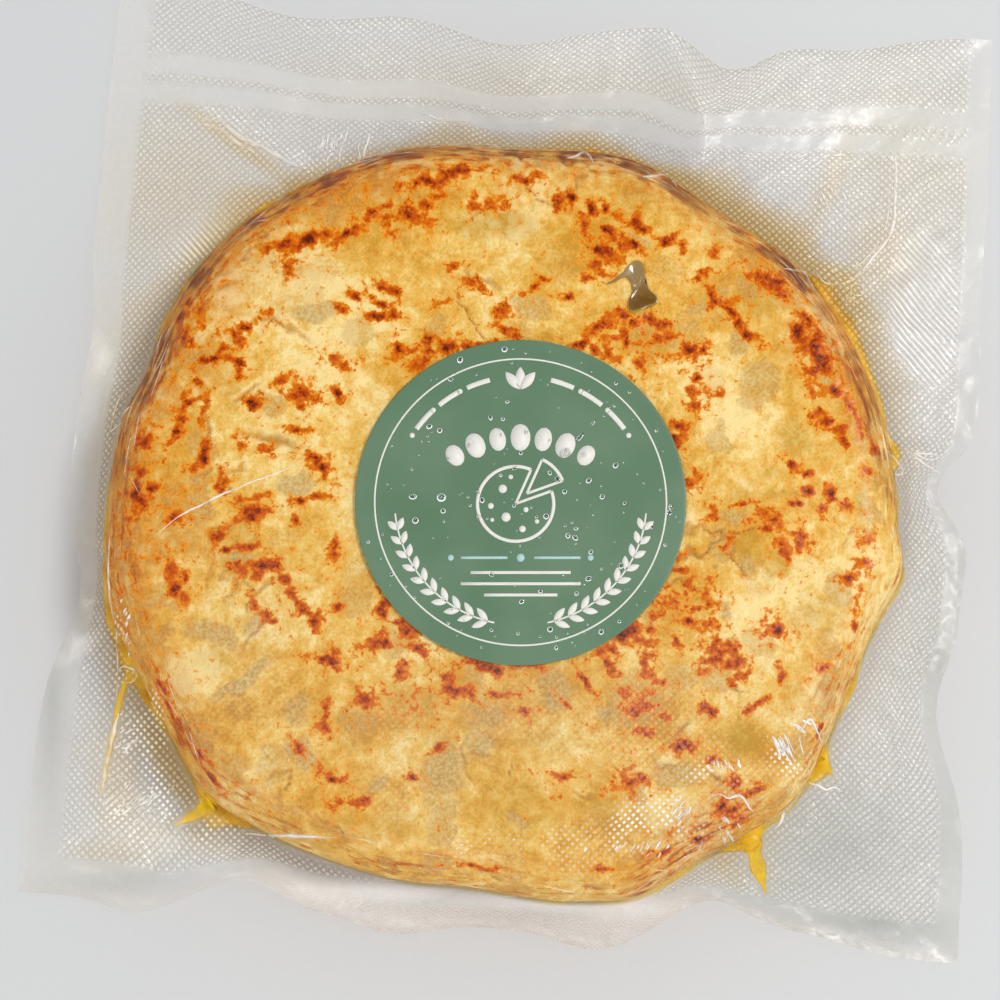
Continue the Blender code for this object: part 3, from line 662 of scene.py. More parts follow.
def strongest_mark(x, y, marks, softness, power=2.0):
    """The strongest of many turned ovals: strength times exp(-(scaled distance)^softness).

    The distance is (along^power + across^power)^(1 / power), so a higher power makes the oval squarer.
    """
    best = np.zeros_like(x)
    for middle_x, middle_y, half_length, half_width, turn, strength in marks:
        cosine = math.cos(math.radians(turn))
        sine = math.sin(math.radians(turn))
        along = ((x - middle_x) * cosine + (y - middle_y) * sine) / half_length
        across = ((y - middle_y) * cosine - (x - middle_x) * sine) / half_width
        away = (np.abs(along) ** power + np.abs(across) ** power) ** (1 / power)
        best = np.maximum(best, strength * np.exp(-away ** softness))
    return best


def summed_marks(x, y, marks):
    """The sum of many turned bells, strength times exp(-(scaled distance)^2), paler or deeper by sign."""
    total = np.zeros_like(x)
    for mark in marks:
        total += math.copysign(1, mark[5]) * strongest_mark(x, y, ((*mark[:5], abs(mark[5])),), 2.0)
    return total


def distance_to_path(x, y, points):
    """Distance from each place to a bent line, and how far along it the nearest point is, from 0 to 1."""
    nearest = np.full_like(x, 1e9)
    share = np.zeros_like(x)
    pieces = len(points) - 1
    for number in range(pieces):
        start = np.array(points[number], float)
        step = np.array(points[number + 1], float) - start
        along = np.clip(((x - start[0]) * step[0] + (y - start[1]) * step[1]) / (step @ step), 0, 1)
        distance = np.hypot(x - start[0] - along * step[0], y - start[1] - along * step[1])
        closer = distance < nearest
        nearest = np.where(closer, distance, nearest)
        share = np.where(closer, (number + along) / pieces, share)
    return nearest, share


# The pack's form


def turned(u, v):
    """A point of the bag's own frame, turned into the pack's frame."""
    cosine = math.cos(PACK_TURN)
    sine = math.sin(PACK_TURN)
    return u * cosine - v * sine, u * sine + v * cosine


def turned_back(x, y):
    """A point of the pack's frame, turned into the bag's own frame."""
    cosine = math.cos(PACK_TURN)
    sine = math.sin(PACK_TURN)
    return x * cosine + y * sine, y * cosine - x * sine


def from_label(x, y):
    """How far each place is from the label's middle."""
    return np.hypot(x - LABEL_CENTRE[0], y - LABEL_CENTRE[1])


def places_round(centre, radius, angle):
    """Places at this distance and angle from a centre, as rows of x and y."""
    return np.stack([centre[0] + radius * np.cos(angle), centre[1] + radius * np.sin(angle)], axis=-1)


def from_middle(radius, angle):
    """The place at this distance and angle from the omelette's middle."""
    return OMELETTE_CENTRE[0] + radius * np.cos(angle), OMELETTE_CENTRE[1] + radius * np.sin(angle)


def seen_from_middle(x, y):
    """The distance and the angle of a place from the omelette's middle."""
    away_x = x - OMELETTE_CENTRE[0]
    away_y = y - OMELETTE_CENTRE[1]
    return np.hypot(away_x, away_y), np.arctan2(away_y, away_x)


def flat_points(x, y):
    """Places on the ground, as points."""
    return np.stack([x, y, np.zeros_like(x)], axis=2)


def rim_radius(angle):
    """The omelette's outline: its mean radius plus shallow dents and swellings."""
    return OMELETTE_RADIUS + ring_curves(angle, RIM_BUMPS)


def bag_sides():
    """The bag's sides, anticlockwise: start corner, end corner, inward direction, pulls, their sign."""
    half_u = PACK_WIDTH / 2
    half_v = PACK_LENGTH / 2
    return (
        ((half_u, -half_v), (half_u, half_v), (-1, 0), RIGHT_PULLS, 1),
        ((half_u, half_v), (-half_u, half_v), (0, -1), TOP_PULLS, -1),
        ((-half_u, half_v), (-half_u, -half_v), (1, 0), LEFT_PULLS, -1),
        ((-half_u, -half_v), (half_u, -half_v), (0, 1), BOTTOM_PULLS, 1),
    )


def corner_ray(corner):
    """The direction from the omelette's middle to a corner of the bag, as a vector and an angle."""
    ray = np.array(turned(*corner)) - OMELETTE_CENTRE
    return ray, math.atan2(ray[1], ray[0])


def bag_edge(angle):
    """The bag's edge where a ray at this angle meets it: x, y, height, flat-bag u and v, pull in u and v.

    The place along a side is where the ray crosses the straight side. The edge is then drawn in by the
    side's bell curves, which fade at the corners, and it stands higher the further in it is drawn.
    """
    edge = tuple(np.zeros((7,) + angle.shape))
    for start, end, inward, pulls, sign in bag_sides():
        first, first_angle = corner_ray(start)
        last, last_angle = corner_ray(end)
        sweep = (last_angle - first_angle) % (2 * math.pi)
        here = (angle - first_angle + 1e-9) % (2 * math.pi) < sweep
        across_first = first[0] * np.sin(angle) - first[1] * np.cos(angle)
        across_last = last[0] * np.sin(angle) - last[1] * np.cos(angle)
        gap = across_first - across_last
        share = np.clip(across_first / np.where(np.abs(gap) < 1e-9, 1.0, gap), 0, 1)
        fade = np.sin(math.pi * share) ** 0.5
        pull = bell_curves(sign * (share - 0.5) * math.dist(start, end), pulls) * fade
        side_u = start[0] + (end[0] - start[0]) * share
        side_v = start[1] + (end[1] - start[1]) * share
        side_x, side_y = turned(side_u + inward[0] * pull, side_v + inward[1] * pull)
        side_height = CORNER_HEIGHT + (EDGE_HEIGHT - CORNER_HEIGHT) * fade + LIFT_PER_PULL * pull
        side = (side_x, side_y, side_height, side_u, side_v, inward[0] * pull, inward[1] * pull)
        edge = tuple(np.where(here, new, old) for new, old in zip(side, edge))
    return edge


def film_angles():
    """The meridians of the film, evenly spread in angle within each side, the first of each at a corner."""
    angles = []
    for side, steps in zip(bag_sides(), FILM_SIDE_STEPS):
        first = corner_ray(side[0])[1]
        sweep = (corner_ray(side[1])[1] - first) % (2 * math.pi)
        angles.append(first + sweep * np.arange(steps) / steps)
    return np.concatenate(angles)


def face_height(x, y):
    """The top face: low lumps on a slight dome, flat under the label, as in the solids."""
    fade = np.clip((from_label(x, y) - FLAT_RADIUS) / FLAT_FADE, 0, 1)
    lumps = np.sin(x / 15 + 1.0) * np.sin(y / 18 + 0.5)
    ripples = 0.6 * np.sin((x + y) / 9 + 2.0)
    dome = np.maximum(seen_from_middle(x, y)[0] - FLAT_RADIUS, 0) / (OMELETTE_RADIUS - FLAT_RADIUS)
    return OMELETTE_HEIGHT + fade * LUMP_HEIGHT * (lumps + ripples) - DOME_DROP * dome ** 2


def shared_relief(x, y, height):
    """Relief that the film follows: wide lumps and smaller ones, level under the label."""
    fade = smooth_step(from_label(x, y), LABEL_RADIUS + 1, LABEL_RADIUS + 9)
    wide = layered_noise(x, y, 24.0, 11, 2)
    small = layered_noise(x, y, 8.0, 23, 2)
    slices = strongest_mark(x, y, POTATO_SLICES, 3.0)
    pit = strongest_mark(x, y, PIT_LOBES, 4.0)
    return fade * height * (wide + 0.6 * small + 0.4 * slices) - 0.5 * pit


def crown(angle, along, inset, relief):
    """The top face and the shoulder, and the patterns' coordinates on them.

    along runs from 0 in the middle to 1 where the shoulder starts and 2 at its foot. The shoulder is a
    superellipse. The patterns' coordinates unroll the shoulder outwards, so nothing is squeezed on it.
    """
    rim = rim_radius(angle) - inset
    start = rim - SHOULDER_WIDTH
    on_face = np.clip(along, 0, 1)
    down = np.clip(along - 1, 0, 1)
    turn = down * math.pi / 2
    radius = start * on_face + SHOULDER_WIDTH * np.sin(turn) ** SHOULDER_POWER
    unrolled = start * on_face + SHOULDER_LENGTH * down
    top = face_height(*from_middle(start * on_face, angle)) - inset
    height = top - (top - SKIRT_START_HEIGHT) * (1 - np.cos(turn) ** SHOULDER_POWER)
    pattern_x, pattern_y = from_middle(unrolled, angle)
    swell = shared_relief(pattern_x, pattern_y, relief) * (1 - down ** 4)
    x, y = from_middle(radius + swell * np.sin(turn), angle)
    return x, y, height + swell * np.cos(turn), pattern_x, pattern_y, turn


def skirt(angle, share):
    """The skirt's upper film: x, y, height, the distance out from the rim, and flat-bag u and v.

    In plan a ray runs straight from the rim to the edge. The height falls as (1 - share)^1.7 and carries
    pleats that radiate from the rim, wide waves, small creases, the named folds and the tents.
    """
    edge_x, edge_y, edge_height, _, _, pull_u, pull_v = bag_edge(angle)
    rim_x, rim_y = from_middle(rim_radius(angle), angle)
    x = rim_x + (edge_x - rim_x) * share
    y = rim_y + (edge_y - rim_y) * share
    out = share * np.hypot(edge_x - rim_x, edge_y - rim_y)
    height = edge_height + (SKIRT_START_HEIGHT - edge_height) * (1 - share) ** 1.7
    height = height + skirt_relief(x, y, angle, share, out)
    here_u, here_v = turned_back(x, y)
    return x, y, height, out, here_u - pull_u * share, here_v - pull_v * share


def skirt_relief(x, y, angle, share, out):
    """Relief of the skirt in millimetres, the sum of the parts that skirt names."""
    around_x = np.cos(angle) * OMELETTE_RADIUS
    around_y = np.sin(angle) * OMELETTE_RADIUS
    start = 1 - np.exp(-out / 2.0)
    pleats = layered_noise(around_x, around_y, 9.0, 41, 3) * 2.6 * start * np.exp(-out / 14.0)
    waves = layered_noise(x, y, 34.0, 53, 2) * 1.8 * smooth_step(share, 0.05, 0.5)
    creases = (0.12 - np.abs(layered_noise(x, y, 15.0, 67, 3))).clip(0) * 7.0 * start
    folds = np.zeros_like(x)
    for height, half_width, points in FOLDS:
        distance, along = distance_to_path(x, y, points)
        taper = np.sin(math.pi * np.clip(along * 0.9 + 0.05, 0, 1)) ** 0.7
        folds = np.maximum(folds, height * taper * bell(distance, half_width))
    tents = np.zeros_like(x)
    for middle, height, half_width, reach in TENTS:
        away = degrees_from(angle, middle) * math.pi / 180 * (OMELETTE_RADIUS + out)
        tents = np.maximum(tents, height * bell(away, half_width) * bell(out, reach))
    return pleats + waves + creases + (folds + tents) * start


def films_apart(out):
    """How far apart the two films are: wide by the rim, where the juice gathers, then nearly touching."""
    return FILM_GAP + CAVITY_DEPTH * bell(out, CAVITY_REACH)


def foot(angle, share, start_height, inset):
    """The rounded foot: out by cos and down by sin from the rim to the flat base."""
    turn = share * math.pi / 2
    radius = rim_radius(angle) - inset - FOOT_WIDTH * (1 - np.cos(turn))
    height = inset + (start_height - inset) * (1 - np.sin(turn))
    unrolled = rim_radius(angle) - SHOULDER_WIDTH + SHOULDER_LENGTH + FOOT_LENGTH * share
    return radius, height, unrolled


# Meshes


def new_piece(name, points, faces, attributes, material, crease=None):
    """Make a mesh object from points in millimetres, in the row frame, that rides on the root body.

    crease holds the first and the last number of a ring of points whose edges are shaded sharp.
    """
    mesh = bpy.data.meshes.new(name)
    mesh.vertices.add(len(points))
    mesh.vertices.foreach_set("co", (points * MM).astype(np.float32).ravel())
    corners = np.concatenate([part.ravel() for part in faces])
    sizes = np.concatenate([np.full(len(part), part.shape[1]) for part in faces])
    mesh.loops.add(len(corners))
    mesh.loops.foreach_set("vertex_index", corners.astype(np.int32))
    mesh.polygons.add(len(sizes))
    mesh.polygons.foreach_set("loop_start", (np.cumsum(sizes) - sizes).astype(np.int32))
    for title, values in attributes.items():
        kind = "FLOAT_VECTOR" if values.ndim == 2 else "FLOAT"
        field = "vector" if values.ndim == 2 else "value"
        layer = mesh.attributes.new(title, kind, "POINT")
        layer.data.foreach_set(field, values.astype(np.float32).ravel())
    mesh.update(calc_edges=True)
    mesh.validate()
    mesh.shade_smooth()
    if crease:
        ends = np.empty(len(mesh.edges) * 2, np.int32)
        mesh.edges.foreach_get("vertices", ends)
        inside = (ends >= crease[0]) & (ends <= crease[1])
        mesh.edges.foreach_set("use_edge_sharp", inside.reshape(-1, 2).all(axis=1))
    mesh.materials.append(material)
    piece = bpy.data.objects.new(name, mesh)
    bpy.context.scene.collection.objects.link(piece)
    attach(piece, "root")
    return piece


def closed_skin_faces(rings, meridians):
    """Faces of a skin with one point at each pole: fans at the poles and quads between the rings.

    Point 0 is the first pole, the last point is the other, and ring r holds points 1 + r * meridians on.
    """
    here = np.arange(meridians)
    after = (here + 1) % meridians
    last_ring = 1 + (rings - 1) * meridians
    pole = last_ring + meridians
    first_fan = np.stack([np.zeros_like(here), 1 + here, 1 + after], axis=1)
    last_fan = np.stack([np.full_like(here, pole), last_ring + after, last_ring + here], axis=1)
    base = 1 + np.arange(rings - 1)[:, None] * meridians
    quads = np.stack([base + here, base + meridians + here, base + meridians + after, base + after], axis=2)
    return [first_fan, quads.reshape(-1, 4), last_fan]


def with_poles(grid):
    """Flatten ring-by-ring values and add the mean of the first and the last ring as the poles' values."""
    flat = grid.reshape(-1, grid.shape[-1])
    return np.concatenate([grid[0].mean(axis=0)[None], flat, grid[-1].mean(axis=0)[None]])


def strip_body(path, half_width, low, thickness, height_at, top_share=1.0):
    """A closed strip along a path: four corners at each point, and a cap at each end.

    The corners lie half the width to either side, along the path's normal, at low and low + thickness
    above the height under them. The top is as wide as top_share says. A path whose ends meet gets no caps.
    """
    closed = np.allclose(path[0], path[-1])
    top = low + thickness * np.ones(len(path))
    if closed:
        path = path[:-1]
        half_width = half_width[:-1]
        top = top[:-1]
    ahead = np.roll(path, -1, axis=0)
    behind = np.roll(path, 1, axis=0)
    if not closed:
        ahead[-1] = path[-1]
        behind[0] = path[0]
    along = ahead - behind
    along = along / np.maximum(np.linalg.norm(along, axis=1, keepdims=True), 1e-9)
    across = np.stack([-along[:, 1], along[:, 0]], axis=1) * half_width[:, None]
    points = np.empty((len(path), 4, 3))
    for corner, (side, lift) in enumerate(((1, low), (-1, low), (-top_share, top), (top_share, top))):
        place = path + side * across
        points[:, corner, :2] = place
        points[:, corner, 2] = height_at(place[:, 0], place[:, 1]) + lift
    count = len(path)
    here = np.arange(count if closed else count - 1)
    after = (here + 1) % count
    sides = [
        np.stack([here * 4 + k, after * 4 + k, after * 4 + (k + 1) % 4, here * 4 + (k + 1) % 4], axis=1)
        for k in range(4)
    ]
    faces = np.concatenate(sides)
    if not closed:
        last = (count - 1) * 4
        faces = np.concatenate([faces, [[0, 1, 2, 3], [last + 3, last + 2, last + 1, last]]])
    return points.reshape(-1, 3), faces


def joined(bodies):
    """Join several (points, faces) pairs into one."""
    points = np.concatenate([body[0] for body in bodies])
    starts = np.cumsum([0] + [len(body[0]) for body in bodies[:-1]])
    faces = np.concatenate([body[1] + start for body, start in zip(bodies, starts)])
    return points, faces


# Materials


class NodeBench:
    """Adds nodes to one tree and joins them, so that a material reads as a recipe."""

    def __init__(self, tree):
        self.tree = tree

    def add(self, kind, values=None, **settings):
        """A node of this kind, with its settings, and values or links for its inputs."""
        node = self.tree.nodes.new(kind)
        for name, setting in settings.items():
            setattr(node, name, setting)
        for name, value in (values or {}).items():
            self.feed(node.inputs[name], value)
        return node

    def feed(self, socket, value):
        """Join a socket to another one, or set its own value."""
        if isinstance(value, bpy.types.NodeSocket):
            self.tree.links.new(value, socket)
        elif hasattr(value, "__len__") and len(value) == 3 and socket.type == "RGBA":
            socket.default_value = (*value, 1.0)
        else:
            socket.default_value = value

    def math(self, operation, first, second=0.0, clamp=False):
        """One sum."""
        node = self.add("ShaderNodeMath", {0: first, 1: second}, operation=operation, use_clamp=clamp)
        return node.outputs[0]

    def plus(self, first, second, clamp=False):
        """Two values added."""
        return self.math("ADD", first, second, clamp)

    def minus(self, first, second):
        """The second value taken from the first."""
        return self.math("SUBTRACT", first, second)

    def times(self, first, second):
        """Two values multiplied."""
        return self.math("MULTIPLY", first, second)

    def vector_math(self, operation, first, second=(0, 0, 0)):
        """One sum on vectors."""
        node = self.add("ShaderNodeVectorMath", {0: first, 1: second}, operation=operation)
        return node.outputs[0]

    def blend(self, share, first, second):
        """Two colours mixed."""
        return self.add("ShaderNodeMix", {0: share, 6: first, 7: second}, data_type="RGBA").outputs[2]

    def mix_shaders(self, share, first, second):
        """Two shaders mixed."""
        return self.add("ShaderNodeMixShader", {0: share, 1: first, 2: second}).outputs[0]

    def clear(self, colour):
        """A clear shader of this tint."""
        return self.add("ShaderNodeBsdfTransparent", {"Color": colour}).outputs[0]

    def attribute(self, name, output="Fac"):
        """A value that the mesh carries."""
        return self.add("ShaderNodeAttribute", attribute_name=name).outputs[output]

    def noise(self, place, size, detail=3.0, roughness=0.55, dimensions="3D"):
        """Noise whose blobs are about this many metres wide."""
        values = {"Vector": place, "Scale": 1.0 / size, "Detail": detail, "Roughness": roughness}
        return self.add("ShaderNodeTexNoise", values, noise_dimensions=dimensions).outputs["Fac"]

    def object_place(self):
        """The object's own coordinates."""
        return self.add("ShaderNodeTexCoord").outputs["Object"]

    def colour_part(self, colour, number):
        """One channel of a colour, as a value."""
        return self.add("ShaderNodeSeparateColor", {0: colour}).outputs[number]

    def remap(self, value, low, high, new_low=0.0, new_high=1.0, smooth=True):
        """A range of values stretched onto another, smoothly and clamped."""
        node = self.add(
            "ShaderNodeMapRange",
            {"Value": value, "From Min": low, "From Max": high, "To Min": new_low, "To Max": new_high},
            interpolation_type="SMOOTHSTEP" if smooth else "LINEAR")
        return node.outputs["Result"]

    def ramp(self, value, stops):
        """A colour from a ramp of (place, colour) stops."""
        node = self.add("ShaderNodeValToRGB", {"Fac": value})
        elements = node.color_ramp.elements
        while len(elements) < len(stops):
            elements.new(1.0)
        for element, (place, colour) in zip(elements, stops):
            element.position = place
            element.color = (*colour, 1.0)
        return node.outputs["Color"]

    def bump(self, height, distance, strength):
        """A normal bent by a height that is distance metres at 1."""
        values = {"Height": height, "Distance": distance, "Strength": strength}
        return self.add("ShaderNodeBump", values).outputs["Normal"]

    def place_group(self, group, values):
        """A shared group with its own values, and the one value that it gives."""
        node = self.add("ShaderNodeGroup", node_tree=group)
        for name, value in values.items():
            self.feed(node.inputs[name], value)
        return node.outputs[0]


def new_material(name):
    """A material whose tree is empty but for its output."""
    material = bpy.data.materials.new(name)
    material.use_nodes = True
    material.node_tree.nodes.clear()
    bench = NodeBench(material.node_tree)
    output = bench.add("ShaderNodeOutputMaterial")
    return material, bench, output


def shaded(material, bench, output, values):
    """Close a material with one plain shader that has these values."""
    shader = bench.add("ShaderNodeBsdfPrincipled", values)
    bench.feed(output.inputs["Surface"], shader.outputs["BSDF"])
    return material


def new_group(name, inputs, result):
    """A node group with named inputs and one value out: the group, its bench and the inputs' sockets."""
    group = bpy.data.node_groups.new(name, "ShaderNodeTree")
    for title, kind in inputs:
        group.interface.new_socket(name=title, in_out="INPUT", socket_type=kind)
    group.interface.new_socket(name=result, in_out="OUTPUT", socket_type="NodeSocketFloat")
    bench = NodeBench(group)
    return group, bench, bench.add("NodeGroupInput").outputs


def grain_group():
    """The shared fine grain: two sizes of noise added, centred on zero, for paper, ink and the worktop."""
    group = bpy.data.node_groups.get("fine grain")
    if group:
        return group
    group, bench, inside = new_group("fine grain", (
        ("Place", "NodeSocketVector"), ("Fine", "NodeSocketFloat"), ("Coarse", "NodeSocketFloat")), "Grain")
    sizes = []
    for size, detail in (("Fine", 2.0), ("Coarse", 3.0)):
        values = {"Vector": inside["Place"], "Scale": inside[size], "Detail": detail}
        sizes.append(bench.add("ShaderNodeTexNoise", values).outputs["Fac"])
    bench.add("NodeGroupOutput", {"Grain": bench.minus(bench.plus(*sizes), 1.0)})
    return group


def add_grain(bench, fine_size, coarse_size):
    """Place the shared grain in a material, with its two sizes in metres."""
    values = {"Place": bench.object_place(), "Fine": 1.0 / fine_size, "Coarse": 1.0 / coarse_size}
    return bench.place_group(grain_group(), values)


def omelette_material(settings):
    """Set egg with potato in it, browned in grainy marks that fade through orange into a golden halo.

    The egg's tone is a wide unevenness that the mesh carries, painted paler along the lips beside the
    cracks as a painted highlight, and two sizes of noise, on a ramp. The chunks of potato are the cells of
    a warped Voronoi pattern, those with a high random number, and the placed slices. Browning is the
    placed marks, the rim's own browning and two sizes of noise, added and read off one ramp.
    """
    material, bench, output = new_material("browned omelette")
    place = bench.attribute("pattern", "Vector")
    curd = bench.add("ShaderNodeTexNoise", {"Vector": place, "Scale": 1 / (4.4 * MM), "Detail": 3.0,
                                            "Roughness": 0.6}, noise_dimensions="2D")
    patch = bench.noise(place, 3.4 * MM, 3.0, 0.55, dimensions="2D")
    fleck = bench.noise(place, 1.1 * MM, 1.0, 0.5, dimensions="2D")
    streak = bench.noise(bench.attribute("rim_place", "Vector"), 1.0, 3.0, 0.6)
    rim = bench.attribute("rim")
    curd_height = curd.outputs["Fac"]

    tone = bench.plus(bench.times(curd_height, 0.36), bench.times(fleck, 0.1))
    tone = bench.plus(tone, bench.times(bench.attribute("tone"), 0.34))
    egg = bench.ramp(tone, (
        (0.07, linear(208, 148, 48)), (0.165, settings["yolk"]), (0.255, settings["egg"]),
        (0.335, linear(251, 224, 154))))
    glow = bench.times(bench.attribute("halo"), bench.remap(patch, 0.35, 0.6, 0.1, 0.9))
    egg = bench.blend(glow, egg, linear(238, 166, 44))
    oily = bench.times(bench.attribute("oily"), bench.remap(curd_height, 0.25, 0.6, 1.0, 0.6))
    egg = bench.blend(oily, egg, settings["oily"])

    offset = bench.vector_math("SCALE", bench.vector_math("SUBTRACT", curd.outputs["Color"], (0.5,) * 3))
    offset.node.inputs["Scale"].default_value = 6 * MM
    chunks = bench.add("ShaderNodeTexVoronoi", {
        "Vector": bench.vector_math("ADD", place, offset), "Scale": 1 / (12 * MM)}, voronoi_dimensions="2D")
    number = bench.add("ShaderNodeSeparateColor", {0: chunks.outputs["Color"]})
    chunk = bench.times(bench.remap(number.outputs[0], 0.7, 0.74),
                       bench.remap(chunks.outputs["Distance"], 0.5, 0.36))
    chunk = bench.times(chunk, bench.remap(number.outputs[1], 0.0, 1.0, 0.1, 0.45))
    slices = bench.math("MAXIMUM", chunk, bench.attribute("potato"))
    edge = bench.times(slices, bench.minus(1.0, slices))
    flesh = bench.blend(bench.remap(fleck, 0.35, 0.65), settings["potato"], linear(216, 188, 126))
    egg = bench.blend(bench.times(slices, 0.9), egg, flesh)
    lines = bench.math("MAXIMUM", edge, bench.attribute("crevice"))
    egg = bench.blend(bench.times(lines, 0.75), egg, linear(184, 116, 36))
    wash = bench.times(bench.attribute("wash"), bench.remap(curd_height, 0.3, 0.7, 1.0, 0.55))
    egg = bench.blend(wash, egg, linear(200, 124, 42))

    reach = bench.plus(1.1, bench.times(bench.attribute("halo"), 1.1))
    spread = bench.times(bench.minus(patch, 0.5), reach)
    speckle = bench.times(bench.minus(fleck, 0.5), 0.7)
    bend = bench.math("ABSOLUTE", bench.minus(bench.colour_part(curd.outputs["Color"], 1), 0.5))
    stroke = bench.times(bench.remap(bend, 0.05, 0.0), bench.remap(patch, 0.42, 0.6, 0.0, 0.4))
    stroke = bench.times(stroke, bench.remap(bench.attribute("halo"), 0.0, 0.5, 0.2, 1.0))
    speckle = bench.plus(speckle, stroke)
    streaks = bench.times(rim, bench.times(bench.minus(0.55, streak), 3.0))
    browned = bench.times(bench.attribute("browned"), 1.2)
    total = bench.plus(browned, bench.plus(spread, speckle))
    total = bench.plus(total, bench.plus(streaks, bench.times(wash, 0.3)))
    halo = bench.times(bench.remap(total, 0.14, 0.4), 0.8)
    egg = bench.blend(halo, egg, linear(235, 160, 50))
    crust = bench.ramp(bench.remap(total, 0.3, 1.65, smooth=False), (
        (0.0, settings["golden"]), (0.18, linear(222, 118, 2)), (0.42, settings["browned"]),
        (0.68, linear(156, 54, 0)), (1.0, settings["darkest"])))
    colour = bench.blend(bench.remap(total, 0.27, 0.5), egg, crust)
    purple = bench.times(rim, bench.remap(streak, 0.5, 0.4, 0.0, 0.8))
    colour = bench.blend(purple, colour, linear(142, 84, 58))
    # The dark band on the far rim: browned skin with painted shade
    band = bench.times(bench.attribute("dark_band"), bench.remap(streak, 0.7, 0.46, 0.1, 1.0))
    colour = bench.blend(band, colour, linear(118, 62, 42))

    grain = bench.plus(bench.times(fleck, 0.5), curd_height)
    return shaded(material, bench, output, {
        "Base Color": colour,
        "Roughness": bench.remap(curd_height, 0.3, 0.7, 0.4, 0.6),
        "Specular IOR Level": 0.08,
        "Normal": bench.bump(grain, 0.45 * MM, 0.9),
    })


def emboss_group():
    """The film's embossing, from flat-bag coordinates: small four-sided pyramids at 45 degrees.

    Each of two crossed waves is |sin|, and the lower of the two is the pyramid's height. Where the film is
    drawn out the pyramids run together into lines, and one wave is left.
    """
    group = bpy.data.node_groups.get("embossed film")
    if group:
        return group
    group, bench, inside = new_group("embossed film", (
        ("Flat place", "NodeSocketVector"), ("Drawn", "NodeSocketFloat")), "Height")
    axes = bench.add("ShaderNodeSeparateXYZ", {0: inside["Flat place"]})
    step = math.pi / (EMBOSS_PITCH * MM * math.sqrt(2))
    waves = []
    for operation in ("ADD", "SUBTRACT"):
        slant = bench.math(operation, axes.outputs[0], axes.outputs[1])
        wave = bench.math("SINE", bench.times(slant, step))
        waves.append(bench.math("ABSOLUTE", wave))
    across = bench.math("MAXIMUM", waves[1], inside["Drawn"])
    bench.add("NodeGroupOutput", {"Height": bench.math("MINIMUM", waves[0], across)})
    return group


def see_through(bench, output, shader, tint):
    """Give a clear piece a plain, faintly tinted shadow and a plain look from matt surfaces.

    Its own shader is left for the rays that see it.
    """
    shade = bench.clear(tint)
    path = bench.add("ShaderNodeLightPath")
    seen = bench.mix_shaders(path.outputs["Is Diffuse Ray"], shader, shade)
    bench.feed(output.inputs["Surface"], bench.mix_shaders(path.outputs["Is Shadow Ray"], seen, shade))


def film_material(settings, name="clear film"):
    """Clear film: each embossed diamond is a faintly milky pillow, with a painted white point where it
    glints.
    """
    material, bench, output = new_material(name)
    flat = bench.attribute("flat_bag", "Vector")
    emboss = bench.attribute("emboss")
    amber = bench.attribute("amber")
    cells = bench.place_group(emboss_group(), {"Flat place": flat, "Drawn": bench.attribute("drawn")})
    wrinkle = bench.noise(flat, 2.6 * MM, 0.0, dimensions="2D")
    height = bench.plus(bench.times(cells, emboss), bench.times(wrinkle, 0.6))
    normal = bench.bump(height, settings["emboss"], 1.0)
    # Painted shade: the film's tint darker in the grooves between the diamonds, amber where the film is
    # stained
    groove_shade = bench.times(bench.minus(1.0, cells), emboss)
    tint = bench.blend(amber, (1.0, 1.0, 1.0), linear(254, 244, 220))
    groove_shade_and_juice = bench.blend(amber, linear(238, 235, 231), linear(222, 186, 108))
    # Painted shade: the film's tint made greyer in places
    seen = bench.blend(bench.times(bench.attribute("dull"), 0.8), bench.blend(groove_shade, tint, groove_shade_and_juice),
                       linear(236, 237, 234))
    lined = bench.attribute("lined")
    squeezed = bench.vector_math("MULTIPLY", flat, LINED_SQUEEZE)
    lattice = bench.place_group(emboss_group(), {"Flat place": squeezed})
    ridges = bench.times(bench.remap(lattice, 0.15, 0.7), lined)
    seen = bench.blend(bench.times(lined, 0.5), seen, linear(244, 233, 226))
    whitish = bench.blend(amber, linear(250, 246, 242), linear(250, 236, 192))
    # One milky white shader for the film's haze and for the painted glints, highlights and light
    milk = bench.add("ShaderNodeBsdfPrincipled", {
        "Base Color": bench.blend(bench.times(lined, 0.6), whitish, linear(246, 234, 226)),
        "Roughness": bench.remap(wrinkle, 0.3, 0.7, 0.3, 0.5),
        "Normal": normal,
    })
    pillow = bench.times(bench.remap(cells, 0.4, 0.85), bench.times(emboss, 0.24))
    # Painted glints: milky white points on the diamonds' tops, where the placed glints lie
    shining = bench.attribute("glint")
    facet = bench.plus(cells, bench.times(shining, 0.25))
    glint = bench.times(bench.remap(facet, 0.85, 1.0), shining)
    points = bench.plus(bench.plus(pillow, glint), bench.times(ridges, 0.15))
    # Haze, with the painted glints and highlights in it
    haze = bench.plus(points, bench.attribute("milk"), clamp=True)
    body = bench.mix_shaders(haze, bench.clear(seen), milk.outputs[0])
    gloss = bench.add("ShaderNodeBsdfGlossy", {
        "Color": (1.0, 1.0, 1.0, 1.0), "Roughness": bench.remap(wrinkle, 0.3, 0.7, 0.22, 0.36),
        "Normal": normal})
    fresnel = bench.add("ShaderNodeFresnel", {"IOR": 1.5, "Normal": normal})
    sheen = bench.math("MINIMUM", fresnel.outputs[0], bench.attribute("shine"))
    see_through(bench, output, bench.mix_shaders(sheen, body, gloss.outputs[0]), (0.985, 0.98, 0.97, 1.0))
    return material


